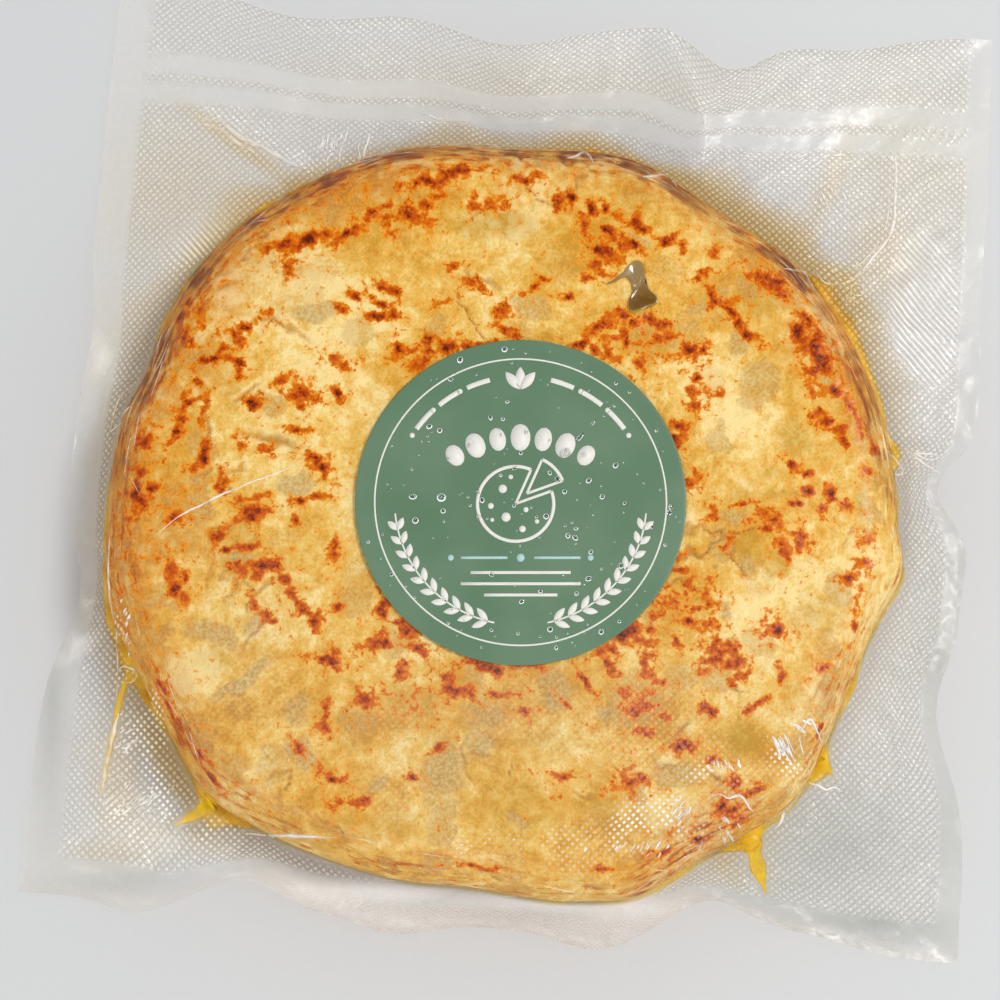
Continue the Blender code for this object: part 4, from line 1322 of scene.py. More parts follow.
def juice_material(settings):
    """Amber juice: clear and pale where it is thin, deeper where it gathers."""
    material, bench, output = new_material("amber juice")
    depth = bench.attribute("depth")
    swirl = bench.noise(bench.object_place(), 5 * MM, 2.0, 0.6)
    share = bench.times(depth, bench.remap(swirl, 0.2, 0.7, 0.5, 1.0))
    clear = bench.clear(bench.blend(share, linear(255, 250, 222), linear(255, 236, 140)))
    body = bench.add("ShaderNodeBsdfPrincipled", {
        "Base Color": bench.blend(share, settings["juice"], linear(255, 212, 24)),
        "Roughness": bench.remap(swirl, 0.3, 0.7, 0.3, 0.45), "Specular IOR Level": 0.2})
    mixed = bench.mix_shaders(bench.times(share, 0.75), clear, body.outputs[0])
    see_through(bench, output, mixed, (0.99, 0.93, 0.76, 1.0))
    return material


def wet_places(x, y):
    """How near each place is to a tongue of juice: 1 over it, falling to 0 a millimetre outside it."""
    wet = np.zeros_like(x)
    for half_width, points in JUICE_TONGUES:
        distance, share = distance_to_path(x, y, points)
        wet = np.maximum(wet, smooth_step(half_width * (1 - 0.8 * share ** 1.6) - distance, -1.2, 0.2))
    return wet


def build_tongues(settings, relief):
    """Thin tongues of juice that run out between the films: low strips just under the upper film."""
    bodies = []
    for half_width, points in JUICE_TONGUES:
        line = smooth_line(points, 0.6)
        share = np.linspace(0, 1, len(line))
        ragged = 1 + 0.5 * layered_noise(line[:, 0], line[:, 1], 2.5, 217, 3)
        width = half_width * ragged * np.maximum(1 - share ** 1.6, 0.12) * np.minimum(0.5 + 5 * share, 1)
        bodies.append(strip_body(line, width, -0.42, 0.32, level, 0.8))
    points, faces = joined(bodies)
    lay_on_film(points, relief)
    points[:, 2] = np.maximum(points[:, 2], FLOOR_CLEARANCE)
    new_piece(
        "juice_tongues", points, [faces], {"depth": np.ones(len(points))}, juice_material(plain(settings)))


def pool_material():
    """The juice that stands in the pit: grey-brown, glossy, darker and warmer towards the near end."""
    material, bench, output = new_material("juice in the pit")
    place = bench.object_place()
    far = bench.add("ShaderNodeSeparateXYZ", {0: place}).outputs[1]
    cloud = bench.noise(place, 4 * MM, 3.0)
    shade = bench.plus(bench.remap(far, 37 * MM, 52 * MM), bench.minus(cloud, 0.5))
    colour = bench.ramp(shade, (
        (0.1, linear(112, 76, 22)), (0.5, linear(138, 106, 58)), (0.9, linear(154, 126, 86))))
    rim = bench.attribute("rim")
    return shaded(material, bench, output, {
        "Base Color": bench.blend(rim, colour, linear(166, 134, 60)),
        "Roughness": bench.remap(cloud, 0.3, 0.7, 0.08, 0.16),
    })


def label_material(settings):
    """Green printed paper with a satin varnish, a fine tooth and slightly uneven ink."""
    material, bench, output = new_material("green label paper")
    grain = add_grain(bench, 0.35 * MM, 14 * MM)
    uneven = bench.noise(bench.object_place(), 30 * MM, 2.0)
    colour = bench.blend(bench.remap(uneven, 0.35, 0.65), settings["paper"], linear(108, 138, 110))
    colour = bench.blend(bench.remap(grain, -0.3, 0.4, 0.15, 0.45), colour, linear(88, 118, 94))
    return shaded(material, bench, output, {
        "Base Color": colour,
        "Roughness": bench.remap(grain, -0.4, 0.4, 0.36, 0.5, smooth=False),
        "Normal": bench.bump(grain, 0.05 * MM, 0.5),
    })


def ink_material(name, colour):
    """Print on the label: one ink, a little uneven over the paper's tooth."""
    material, bench, output = new_material(name)
    grain = add_grain(bench, 0.3 * MM, 6 * MM)
    return shaded(material, bench, output, {
        "Base Color": bench.blend(bench.remap(grain, -0.3, 0.4, 0.0, 0.22), colour, linear(190, 198, 184)),
        "Roughness": bench.remap(grain, -0.4, 0.4, 0.4, 0.55, smooth=False),
    })


def water_material():
    """Drops of condensation: clear water with faintly uneven gloss."""
    material, bench, output = new_material("condensation")
    return shaded(material, bench, output, {
        "Base Color": (0.98, 0.99, 0.98),
        "Transmission Weight": 1.0,
        "IOR": 1.33,
        "Roughness": bench.remap(bench.noise(bench.object_place(), 4 * MM), 0.3, 0.7, 0.01, 0.05),
    })


def floor_material(settings):
    """A plain pale worktop, barely mottled."""
    material, bench, output = new_material("pale worktop")
    grain = add_grain(bench, 2 * MM, 90 * MM)
    colour = bench.blend(bench.remap(grain, -0.4, 0.4, 0.0, 0.12), settings["floor"], linear(196, 198, 202))
    return shaded(material, bench, output, {"Base Color": colour, "Roughness": 0.6})


# Pieces


def ring_places(parts):
    """Places along the crown for each ring: out to the label's edge, over the face, down the shoulder."""
    under = np.linspace(FIRST_RING_SHARE, LABEL_SHARE, parts["under label"], endpoint=False)
    face = np.linspace(LABEL_SHARE, 1.0, parts["face"], endpoint=False)
    shoulder = 1.0 + np.arange(parts["shoulder"] + 1) / parts["shoulder"]
    return np.concatenate([under, face, shoulder])


def cracks(x, y, warp_x, warp_y):
    """The cracks in the egg and the lips beside them: bells across each line, thinning out at its ends.

    Fine cracks lie where one noise is near zero, in the places that a second noise picks out.
    """
    line = np.abs(layered_noise(x, y, 19.0, 97, 4))
    where = smooth_step(layered_noise(x, y, 30.0, 101, 2), 0.15, 0.4)
    crevice = smooth_step(0.035 - line, 0.0, 0.035) * where
    lips = np.zeros_like(crevice)
    for crack_depth, half_width, points in CRACKS:
        distance, share = distance_to_path(warp_x, warp_y, points)
        taper = np.sin(math.pi * np.clip(share, 0.05, 0.95))
        crevice = np.maximum(crevice, crack_depth * bell(distance, half_width) * taper)
        lip = bell(distance - 2.0 * half_width, half_width) * np.sin(math.pi * np.clip(share, 0, 1))
        lips = np.maximum(lips, lip)
    return crevice, lips


def rim_looks(angle, ring, warp_x, warp_y):
    """Browning, the painted-shade band and toasted wash of the rim: steps down the shoulder times strengths
    round it.
    """
    toasted = np.minimum(ring_curves(angle, RIM_WASH), 0.95)
    groups = smooth_step(layered_noise(warp_x, warp_y, 12.0, 261, 3), -0.15, 0.2)
    placed = (0.5 + 0.5 * groups) * ring_curves(angle, RIM_BROWNING)
    rim = smooth_step(ring, 1.1 - 0.2 * toasted, 1.6 - 0.3 * toasted)
    rim = rim * np.minimum(0.1 + 0.3 * groups + placed, 1.1)
    around_x, around_y = np.cos(angle) * 122, np.sin(angle) * 122
    seams = smooth_step(layered_noise(around_x, around_y, 7.0, 263, 3), -0.35, 0.1)
    band = smooth_step(ring + 0.1 * layered_noise(warp_x, warp_y, 6.0, 267, 2), 1.2, 1.38)
    band *= np.minimum(ring_curves(angle, SHADED_RIM), 1) * (0.25 + 0.75 * seams)
    wash_ring = ring + 0.16 * layered_noise(warp_x, warp_y, 9.0, 233, 3)
    wash = toasted * smooth_step(wash_ring, 1.0 - 0.25 * toasted, 1.3 - 0.2 * toasted)
    return rim, band, wash


def build_omelette(settings):
    """The omelette: the crown with cracks, pits and grain cut into it, then the foot and the flat base."""
    angles = np.linspace(0, 2 * math.pi, OMELETTE_MERIDIANS, endpoint=False)
    along = ring_places(OMELETTE_RINGS)
    angle, ring = np.meshgrid(angles, along)
    x, y, z, pattern_x, pattern_y, turn = crown(angle, ring, FILM_CLEARANCE, settings.relief)
    open_face = smooth_step(from_label(pattern_x, pattern_y), LABEL_RADIUS - 2, LABEL_RADIUS + 4)
    warp_x = pattern_x + 3.0 * layered_noise(pattern_x, pattern_y, 6.0, 71)
    warp_y = pattern_y + 3.0 * layered_noise(pattern_x, pattern_y, 6.0, 83)
    fine_x = pattern_x + 1.9 * layered_noise(pattern_x, pattern_y, 4.5, 221, 2)
    fine_y = pattern_y + 1.9 * layered_noise(pattern_x, pattern_y, 4.5, 223, 2)
    browned = strongest_mark(fine_x, fine_y, spread_marks(MARK_SPREAD), 1.9)
    halo = strongest_mark(fine_x, fine_y, spread_marks(HALO_SPREAD), 1.6)
    potato = strongest_mark(warp_x, warp_y, POTATO_SLICES, 9.0, 3.4)
    oily = strongest_mark(warp_x, warp_y, OILY_PLACES, 4.0)
    tone = 0.6 * layered_noise(warp_x, warp_y, 18.0, 231, 4) + summed_marks(warp_x, warp_y, BROAD_TONES)
    pit = smooth_step(strongest_mark(pattern_x, pattern_y, PIT_LOBES, 3.0), 0.3, 0.6)
    crevice, lips = cracks(pattern_x, pattern_y, warp_x, warp_y)
    dimples = smooth_step(layered_noise(pattern_x, pattern_y, 5.0, 113, 2), 0.28, 0.55)
    grain = 0.5 + 0.5 * layered_noise(pattern_x, pattern_y, 2.6, 127, 2)
    side = smooth_step(ring, 1.12, 1.62)
    rim, band, wash = rim_looks(angle, ring, warp_x, warp_y)
    layers = side * (0.5 + layered_noise(np.cos(angle) * 60, np.sin(angle) * 60 + ring * 90, 6.0, 131, 3))
    depth = open_face * (1 - 0.7 * smooth_step(ring, 1.45, 1.9)) * (
        crevice + 0.4 * dimples + 0.25 * grain + PIT_DEPTH * pit + 0.6 * layers + 0.25 * (1 - lips))
    x -= depth * np.sin(turn) * np.cos(angle)
    y -= depth * np.sin(turn) * np.sin(angle)
    z -= depth * np.cos(turn)
    rings = [np.stack([x, y, z], axis=2)]
    drift_x = pattern_x + 1.6 * layered_noise(pattern_x, pattern_y, 12.0, 241, 2)
    drift_y = pattern_y + 1.6 * layered_noise(pattern_x, pattern_y, 12.0, 243, 2)
    patterns = [flat_points(drift_x, drift_y)]

    foot_share = np.arange(1, OMELETTE_RINGS["foot"] + 1) / OMELETTE_RINGS["foot"]
    angle_foot, share = np.meshgrid(angles, foot_share)
    radius, height, unrolled = foot(angle_foot, share, SKIRT_START_HEIGHT, FILM_CLEARANCE)
    radius = radius - np.interp(share, (0, 0.3, 1), (1, 0.4, 0)) * np.mean(depth[-1])
    base_share = np.arange(1, OMELETTE_RINGS["base"] + 1) / (OMELETTE_RINGS["base"] + 0.5)
    angle_base, inward = np.meshgrid(angles, base_share)
    base_radius = (rim_radius(angle_base) - FILM_CLEARANCE - FOOT_WIDTH) * (1 - inward)
    for part_angle, part_radius, part_height, reach in (
            (angle_foot, radius, height, unrolled),
            (angle_base, base_radius, np.full_like(base_radius, FILM_CLEARANCE), base_radius)):
        rings.append(np.stack([*from_middle(part_radius, part_angle), part_height], axis=2))
        patterns.append(flat_points(*from_middle(reach, part_angle)))
    points = np.concatenate(rings)
    pattern = np.concatenate(patterns)
    extra = points.shape[0] - ring.shape[0]

    def carried_on(values, last):
        """The crown's values, with one value for the rings below it."""
        return np.concatenate([values, np.full((extra, values.shape[1]), last)])

    along_rim = carried_on(ring, 2.0)
    along_rim[ring.shape[0]:] += np.arange(1, extra + 1)[:, None] * 0.05
    everywhere = np.tile(angles, (points.shape[0], 1))
    rim_place = np.stack([np.cos(everywhere) * 13, np.sin(everywhere) * 13, along_rim * 14], axis=2)
    attributes = {"pattern": with_poles(pattern * MM), "rim_place": with_poles(rim_place)}
    for title, values, last in (
            ("browned", browned, 0.25), ("potato", potato, 0.0), ("oily", oily, 0.0), ("halo", halo, 0.2),
            # The lips are painted paler as well as raised: a painted highlight
            ("tone", tone + 0.35 * lips, 0.0), ("wash", wash, 0.5), ("crevice", crevice, 0.0),
            ("rim", rim, 0.8), ("dark_band", band, 0.75)):
        attributes[title] = with_poles(carried_on(values, last)[..., None])[:, 0]
    faces = closed_skin_faces(points.shape[0], len(angles))
    material = omelette_material(plain(settings))
    piece = new_piece("omelette", with_poles(points), faces, attributes, material)
    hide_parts("sealed_bag")


def plain(settings):
    """A property group's values as a plain dict of numbers and tuples."""
    return {
        name: tuple(getattr(settings, name)) if hasattr(getattr(settings, name), "__len__")
        else getattr(settings, name)
        for name in settings.__annotations__
    }


def embossing(flat_u, flat_v, lattice):
    """Where the film is embossed: as the lattice says, but for the smooth seal strips."""
    mask = lattice.copy()
    for place, seal in ((flat_u, LEFT_SEAL), (-flat_u, RIGHT_SEAL), (flat_v, BOTTOM_SEAL)):
        mask *= smooth_step(place, -seal - 1, -seal + 1)
    for low, high in TOP_SEAL_BANDS:
        inside = smooth_step(flat_v, low - 0.6, low + 0.6) * smooth_step(-flat_v, -high - 0.6, -high + 0.6)
        mask *= 1 - inside
    return mask


def build_film(settings, relief):
    """The bag: tight over the crown, out along the skirt, back under it, then round the foot and base."""
    grids = []
    flats = []
    masks = []

    def lay(x, y, z, flat_u, flat_v, mask):
        """Add rings of the skin: points, places on the flat bag, and how much they are embossed."""
        grids.append(np.stack([x, y, z], axis=2))
        flats.append(flat_points(flat_u, flat_v))
        masks.append(mask)

    angles = film_angles()
    angle, along = np.meshgrid(angles, ring_places(FILM_RINGS))
    x, y, z = crown(angle, along, 0.0, relief)[:3]
    near_side = smooth_step(-y, 50, 105) * smooth_step(layered_noise(x, y, 16.0, 191, 2), -0.25, 0.3)
    tight_emboss = (0.02 + 0.4 * near_side) * (1 - 0.5 * smooth_step(along, 1.2, 2.0))
    lay(x, y, z, *turned_back(x, y), tight_emboss)

    share = (np.arange(1, FILM_RINGS["skirt"] + 1) / FILM_RINGS["skirt"]) ** 1.3
    angle, out_share = np.meshgrid(angles, share)
    x, y, z, out, flat_u, flat_v = skirt(angle, out_share)
    z = np.maximum(z, FLOOR_CLEARANCE + FILM_GAP)
    lay(x, y, z, flat_u, flat_v, embossing(flat_u, flat_v, smooth_step(out, 0.3, 2.5)))

    share = 1 - (np.arange(1, FILM_RINGS["back"] + 1) / FILM_RINGS["back"]) ** 0.8
    angle, out_share = np.meshgrid(angles, share)
    x, y, z, out, flat_u, flat_v = skirt(angle, out_share)
    z = np.maximum(np.maximum(z, FLOOR_CLEARANCE + FILM_GAP) - films_apart(out), FLOOR_CLEARANCE)
    lay(x, y, z, flat_u, flat_v, embossing(flat_u, flat_v, np.full_like(flat_u, 0.25)))

    start_height = float(np.mean(grids[-1][-1][:, 2]))
    angle, foot_share = np.meshgrid(angles, np.arange(1, FILM_RINGS["foot"] + 1) / FILM_RINGS["foot"])
    radius, height, _ = foot(angle, foot_share, start_height, 0.0)
    base_share = np.arange(1, FILM_RINGS["base"] + 1) / (FILM_RINGS["base"] + 0.5)
    angle_base, inward = np.meshgrid(angles, base_share)
    base_radius = (rim_radius(angle_base) - FOOT_WIDTH) * (1 - inward)
    for part_angle, part_radius, part_height in (
            (angle, radius, height), (angle_base, base_radius, np.zeros_like(base_radius))):
        x, y = from_middle(part_radius, part_angle)
        lay(x, y, np.maximum(part_height, FLOOR_CLEARANCE), *turned_back(x, y), np.full_like(x, 0.2))
    points = np.concatenate(grids)
    flat = np.concatenate(flats)
    flat_u = flat[..., 0].copy()
    flat_v = flat[..., 1].copy()
    flat[..., 0] += 0.9 * layered_noise(flat_u, flat_v, 11.0, 197, 2)
    flat[..., 1] += 0.9 * layered_noise(flat_u, flat_v, 11.0, 199, 2)
    wet = wet_places(points[..., 0], points[..., 1])
    emboss = np.concatenate(masks) * (1 - wet)
    edge_ring = len(ring_places(FILM_RINGS)) + FILM_RINGS["skirt"] - 1
    upper = (np.arange(len(points)) <= edge_ring)[:, None]
    values = film_values(points, flat_v, emboss, upper, settings.haze)
    attributes = {title: with_poles(value[..., None])[:, 0] for title, value in values.items()}
    attributes["flat_bag"] = with_poles(flat) * MM
    faces = closed_skin_faces(points.shape[0], len(angles))
    material = film_material(plain(settings))
    crease = (1 + edge_ring * len(angles), (edge_ring + 1) * len(angles))
    piece = new_piece("clear_film", with_poles(points), faces, attributes, material, crease)
    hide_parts("sealed_bag")


def film_values(points, flat_v, emboss, upper, haze):
    """What the film's material reads at each point. upper is 1 on the upper film and 0 under it.

    The placed marks, sheens and stains are broken up by noise. Milkiness is the film's own haze beyond the
    rim, with the sheens' painted highlights, the faint white wash and the pale seal's painted light added
    to it. The greyer places are painted shade.
    """
    x = points[..., 0]
    y = points[..., 1]
    away, angle = seen_from_middle(x, y)
    from_rim = away - OMELETTE_RADIUS
    broken = smooth_step(layered_noise(x, y, 7.0, 193, 3), -0.15, 0.3)
    # Painted highlights where the smooth film would catch the light
    sheen = strongest_mark(x + 4 * layered_noise(x, y, 9.0, 251, 3), y, SHEENS, 2.0) * (0.3 + 0.7 * broken)
    shade_and_white_wash = strongest_mark(x, y, SHADE_AND_WHITE_WASH_PLACES, 1.2)
    # Painted shade: where the film is made greyer, with less haze and gloss
    dull = np.maximum(strongest_mark(x, y, PAINTED_SHADE_PLACES, 1.2), 0.6 * shade_and_white_wash)
    beyond = smooth_step(away - rim_radius(angle), -0.5, 1.5)
    # Painted light on the smooth seal beside the near rim, over the shadow there
    pale = upper * beyond * strongest_mark(x, y, PAINTED_LIGHT_SEAL, 2.0)
    return {
        "emboss": emboss,
        "amber": film_stain(points),
        # Painted glints
        "glint": upper * broken * smooth_step(strongest_mark(x, y, GLINTS, 2.5), 0.1, 0.9),
        "drawn": upper * smooth_step(strongest_mark(x, y, DRAWN_OUT, 3.0), 0.2, 0.6),
        "milk": (haze * smooth_step(from_rim, -4, 8) * (1 - dull)
                 + upper * (0.7 * sheen + 0.042 * shade_and_white_wash) + 0.8 * pale),
        "lined": upper * smooth_step(-flat_v, BOTTOM_LINED - 0.5, BOTTOM_LINED + 0.5)
                 * (0.35 + 0.65 * np.exp(-((x - 8) / 75) ** 4)),
        "shine": (0.008 + 0.072 * smooth_step(from_rim, 2, 12)
                  * (0.1 + 0.9 * np.minimum(emboss, 1)) * (1 - 0.6 * dull)),
        "dull": dull,
    }


def film_stain(points):
    """Where juice wets the film: in a band round the omelette that wanders, and most at the pools."""
    x = points[..., 0]
    y = points[..., 1]
    away, angle = seen_from_middle(x, y)
    out = away - rim_radius(angle)
    reach = 8.0 + 10.0 * layered_noise(x, y, 26.0, 149, 2) + 1.5 * ring_curves(angle, JUICE_POOLS)
    reach = np.maximum(reach, 1.0)
    band = smooth_step(out, -6, -1) * (1 - smooth_step(out, reach * 0.3, reach * 1.6))
    band *= 0.06 + ring_curves(angle, STAINED_SIDES)
    return np.minimum(band + 0.6 * strongest_mark(x, y, STAINS, 2.0) + 0.5 * wet_places(x, y), 1)


def juice_width(angle):
    """How far the juice reaches out from the rim: a thin wandering bead, and the pools."""
    around_x = np.cos(angle) * OMELETTE_RADIUS
    around_y = np.sin(angle) * OMELETTE_RADIUS
    wander = 0.9 + 1.4 * layered_noise(around_x, around_y, 14.0, 157, 3)
    ragged = 1 + 0.5 * layered_noise(around_x, around_y, 3.0, 163, 3)
    bead = np.maximum(wander, 0.35) * (1 - ring_curves(angle, DRY_RIM))
    return bead + ring_curves(angle, JUICE_POOLS) * ragged


def build_juice(settings):
    """The juice between the films: its top lies under the upper film and its underside over the lower one.

    Each section runs from the rim out along the upper film and back along the lower film. It thins to
    nothing at its outer edge as the square root of one minus the share.
    """
    angles = np.linspace(0, 2 * math.pi, 900, endpoint=False)
    angle, share = np.meshgrid(angles, np.linspace(0, 1, 9))
    width = juice_width(angle)
    edge_x, edge_y = bag_edge(angle)[:2]
    rim_x, rim_y = from_middle(rim_radius(angle), angle)
    reach = np.hypot(edge_x - rim_x, edge_y - rim_y)
    x, y, z, out, _, _ = skirt(angle, (share * (width + 0.9) - 0.9) / reach)
    z = np.maximum(z, FLOOR_CLEARANCE + FILM_GAP)
    top = z - 0.08
    thin = np.sqrt(np.clip(1 - share, 0, 1))
    thickness = (films_apart(out) - 0.16) * thin
    lower = top - np.maximum(thickness, 0.02)
    upper_ring = np.stack([x, y, top], axis=2)
    lower_ring = np.stack([x, y, lower], axis=2)[::-1][1:]
    grid = np.concatenate([upper_ring, lower_ring])
    rows = grid.shape[0]
    depth = np.clip(thickness / 2.0, 0, 1) + 0.35 * np.clip(width / 8, 0, 1)
    depth *= smooth_step(width, 0.2, 2.4)
    depth_grid = np.concatenate([depth, depth[::-1][1:]])
    here = np.arange(len(angles))
    after = (here + 1) % len(angles)
    base = np.arange(rows)[:, None] * len(angles)
    following = ((np.arange(rows) + 1) % rows)[:, None] * len(angles)
    quads = np.stack([base + here, following + here, following + after, base + after], axis=2)
    new_piece(
        "amber_juice", grid.reshape(-1, 3), [quads.reshape(-1, 4)], {"depth": depth_grid.ravel()},
        juice_material(plain(settings)))


def smooth_line(points, step, closed=False):
    """A Catmull-Rom curve through the points: each piece blends the cubic of its four neighbours."""
    points = np.array(points, float)
    if closed:
        points = np.concatenate([points[-1:], points, points[:2]])
    else:
        points = np.concatenate([2 * points[:1] - points[1:2], points, 2 * points[-1:] - points[-2:-1]])
    lines = []
    for before, start, end, after in zip(points, points[1:], points[2:], points[3:]):
        count = max(int(math.dist(start, end) / step), 2)
        t = (np.arange(count) / count)[:, None]
        lines.append(0.5 * (
            2 * start + (end - before) * t + (2 * before - 5 * start + 4 * end - after) * t ** 2
            + (3 * start - before - 3 * end + after) * t ** 3))
    lines.append(points[-2:-1] if not closed else points[1:2])
    return np.concatenate(lines)


def film_height(x, y, relief):
    """Height of the upper film over each place: the crown's inside the rim, the skirt's beyond it.

    On the crown a place's angle and its place along follow from its distance to the middle. On the skirt
    the angle and the share are corrected six times by how far the skirt's point lies from the place.
    """
    radius, aim = seen_from_middle(x, y)
    rim = rim_radius(aim)
    start = rim - SHOULDER_WIDTH
    on_shoulder = np.clip((radius - start) / SHOULDER_WIDTH, 0, 1)
    down = np.arcsin(on_shoulder ** (1 / SHOULDER_POWER)) / (math.pi / 2)
    inside = crown(aim, np.minimum(radius / start, 1) + down, 0.0, relief)[2]
    angle = aim
    share = np.clip((radius - rim) / 40, 0, 1)
    for _ in range(6):
        here_radius, here_angle = seen_from_middle(*skirt(angle, share)[:2])
        reach = seen_from_middle(*bag_edge(angle)[:2])[0] - rim_radius(angle)
        angle = angle + (aim - here_angle + math.pi) % (2 * math.pi) - math.pi
        share = np.clip(share + (radius - here_radius) / reach, 0, 1)
    outside = np.maximum(skirt(angle, share)[2], FLOOR_CLEARANCE + FILM_GAP)
    return np.where(radius < rim, inside, outside)


def lay_on_film(points, relief):
    """Raise points, as they stand, by the height of the upper film over them."""
    points[:, 2] += film_height(points[:, 0], points[:, 1], relief)


def build_pool(relief):
    """The juice in the pit: a low rounded body with a crisp outline, and a thin tail that runs off it.

    The body's rings shrink towards its middle. Its top is level but for the outermost rings, which fall.
    """
    outline = smooth_line(POOL_OUTLINE, 0.35, closed=True)[:-1]
    middle = outline.mean(axis=0)
    shares = np.array((0.04, 0.5, 0.82, 0.9, 0.95, 0.985, 1.0, 0.985, 0.5, 0.04))
    lifts = np.array((-0.12, -0.12, -0.14, -0.17, -0.22, -0.32, -0.5, -0.8, -0.8, -0.8))
    x, y = np.moveaxis(middle + shares[:, None, None] * (outline - middle), 2, 0)
    surface = film_height(x, y, relief)
    grid = np.stack([x, y, surface + lifts[:, None]], axis=2)
    rim = np.tile(smooth_step(shares, 0.88, 0.96)[:, None, None], (1, len(outline), 1))
    faces = closed_skin_faces(len(shares), len(outline))
    turn_over = [part[:, ::-1] for part in faces]
    attributes = {"rim": with_poles(rim)[:, 0]}
    material = pool_material()
    new_piece("pit_juice", with_poles(grid), turn_over, attributes, material)
    tail = smooth_line(POOL_TAIL, 0.4)
    half_width = np.linspace(1.0, 0.15, len(tail))
    points, faces = strip_body(tail, half_width, -0.8, 0.62, level, 0.7)
    lay_on_film(points, relief)
    new_piece("pit_tail", points, [faces], {"rim": np.full(len(points), 0.25)}, material)


def crease_lines():
    """Every crease as (line, half widths, heights, whiteness): named ones, rings, brushes and gathers.

    A named crease wanders a little sideways. A brush's strokes are scattered round its middle and all run
    its way, give or take a few degrees. Each line thins out at both ends as sin(pi * share)^0.5.
    """
    random = np.random.default_rng(31)
    creases = []
    for number, (half_width, height, white, points) in enumerate(CREASES):
        line = smooth_line(points, 0.8)
        wander = 0.5 * layered_noise(line[:, 0] + 0.3 * line[:, 1], line[:, 1], 3.0, 300 + number, 3)
        creases.append((line + wander[:, None], half_width, height, white))
    around = np.linspace(0, 2 * math.pi, 25)
    for x, y, radius in BUBBLES:
        line = np.stack([x + radius * np.cos(around), y + 0.85 * radius * np.sin(around)], axis=1)
        creases.append((line, 0.22, 0.35, 0.7))
    for x, y, heading, length, count, spread_x, spread_y in BRUSHES:
        for _ in range(count):
            middle = np.array((x, y)) + random.normal(0, 0.6, 2) * (spread_x, spread_y)
            turn = math.radians(heading + random.normal(0, 9))
            ends = length * random.uniform(0.4, 1.0) * np.array((math.cos(turn), math.sin(turn))) / 2
            bend = np.array((-ends[1], ends[0])) * random.normal(0, 0.12)
            line = smooth_line((middle - ends, middle + bend, middle + ends), 0.5)
            creases.append((line, random.uniform(0.18, 0.5), 0.3, random.uniform(0.8, 1.6)))
    for middle, spread, count in GATHERS:
        for _ in range(count):
            start = math.radians(random.normal(middle, spread))
            angle = start + np.linspace(0, random.uniform(4, 16) / OMELETTE_RADIUS, 12)
            inset = random.uniform(-1.5, 9) + random.normal(0, 1.6) * np.linspace(0, 1, 12)
            radius = rim_radius(angle) - inset
            line = places_round(OMELETTE_CENTRE, radius, angle)
            creases.append((line, random.uniform(0.08, 0.2), 0.2, random.uniform(0.05, 0.4)))
    shaped = []
    for line, half_width, height, white in creases:
        if np.allclose(line[0], line[-1]):
            taper = np.ones(len(line))
        else:
            taper = np.maximum(np.sin(math.pi * np.linspace(0, 1, len(line))) ** 0.5, 0.12)
            taper *= 1 + 0.8 * layered_noise(line[:, 0], line[:, 1], 4.0, 211, 2)
        shaped.append((line, half_width * taper, height * taper, white))
    return shaped


def build_creases(settings, relief):
    """Fine ridges where the film is creased: closed strips with a narrow top that lie on the film."""
    bodies = []
    whites = []
    for line, half_width, height, white in crease_lines():
        bodies.append(strip_body(line, half_width, -0.12, height + 0.12, level, 0.35))
        # Whiteness: partly the creased film's own, partly painted highlight
        whites.append(np.full(len(bodies[-1][0]), white))
    points, faces = joined(bodies)
    broken = smooth_step(layered_noise(points[:, 0], points[:, 1], 3.0, 207, 2), -0.4, 0.3)
    lay_on_film(points, relief)
    attributes = {
        "milk": np.concatenate(whites) * (0.25 + 0.75 * broken),
        "amber": film_stain(points) * 0.6,
        "shine": np.full(len(points), 0.09),
        "flat_bag": points * MM,
    }
    material = film_material(plain(settings), "creased film")
    new_piece("film_creases", points, [faces], attributes, material)


def level(x, y):
    """Height 0 everywhere, for strips that are set on their ground later."""
    return np.zeros_like(x)


def label_surface(x, y):
    """The label's top: level, with a faint waviness from the film under it."""
    return label_high[2] - LABEL_SAG + 0.1 * layered_noise(x, y, 26.0, 173, 2)


def build_label(settings):
    """The paper disc: rings out to a slightly rounded edge, then back underneath."""
    angles = np.linspace(0, 2 * math.pi, LABEL_MERIDIANS, endpoint=False)
    top_radii = np.concatenate([np.linspace(0.02, 0.985, LABEL_RINGS), (0.996, 1.0)]) * LABEL_RADIUS
    angle, radius = np.meshgrid(angles, np.concatenate([top_radii, top_radii[::-1][1:]]))
    drop = np.concatenate([np.zeros(LABEL_RINGS), (0.02, 0.08), np.full(LABEL_RINGS + 1, LABEL_THICKNESS)])
    x, y = np.moveaxis(places_round(LABEL_CENTRE, radius, angle), 2, 0)
    points = np.stack([x, y, label_surface(x, y) - drop[:, None]], axis=2)
    faces = closed_skin_faces(points.shape[0], len(angles))
    piece = new_piece(
        "label_paper", with_poles(points), faces, {}, label_material(plain(settings)))
    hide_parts("round_label")


def on_label(radius, degrees):
    """A place on the label from its middle: a radius and an angle, anticlockwise from the right."""
    return places_round(LABEL_CENTRE, radius, np.radians(degrees))


def arc_line(radius, first, last, width):
    """A line of even width along an arc of the label."""
    degrees = np.linspace(first, last, max(int(abs(last - first) * radius / 40), 12))
    path = on_label(np.full_like(degrees, radius), degrees)
    return path, np.full(len(path), width / 2)


def leaf(root, direction, length, width):
    """A pointed leaf: half its width grows as sin(pi * share)^0.8 along a straight vein."""
    share = np.linspace(0, 1, 13)
    heading = np.array((math.cos(direction), math.sin(direction)))
    path = np.array(root) + share[:, None] * length * heading
    return path, np.maximum(width / 2 * np.sin(math.pi * share) ** 0.8, 0.03)


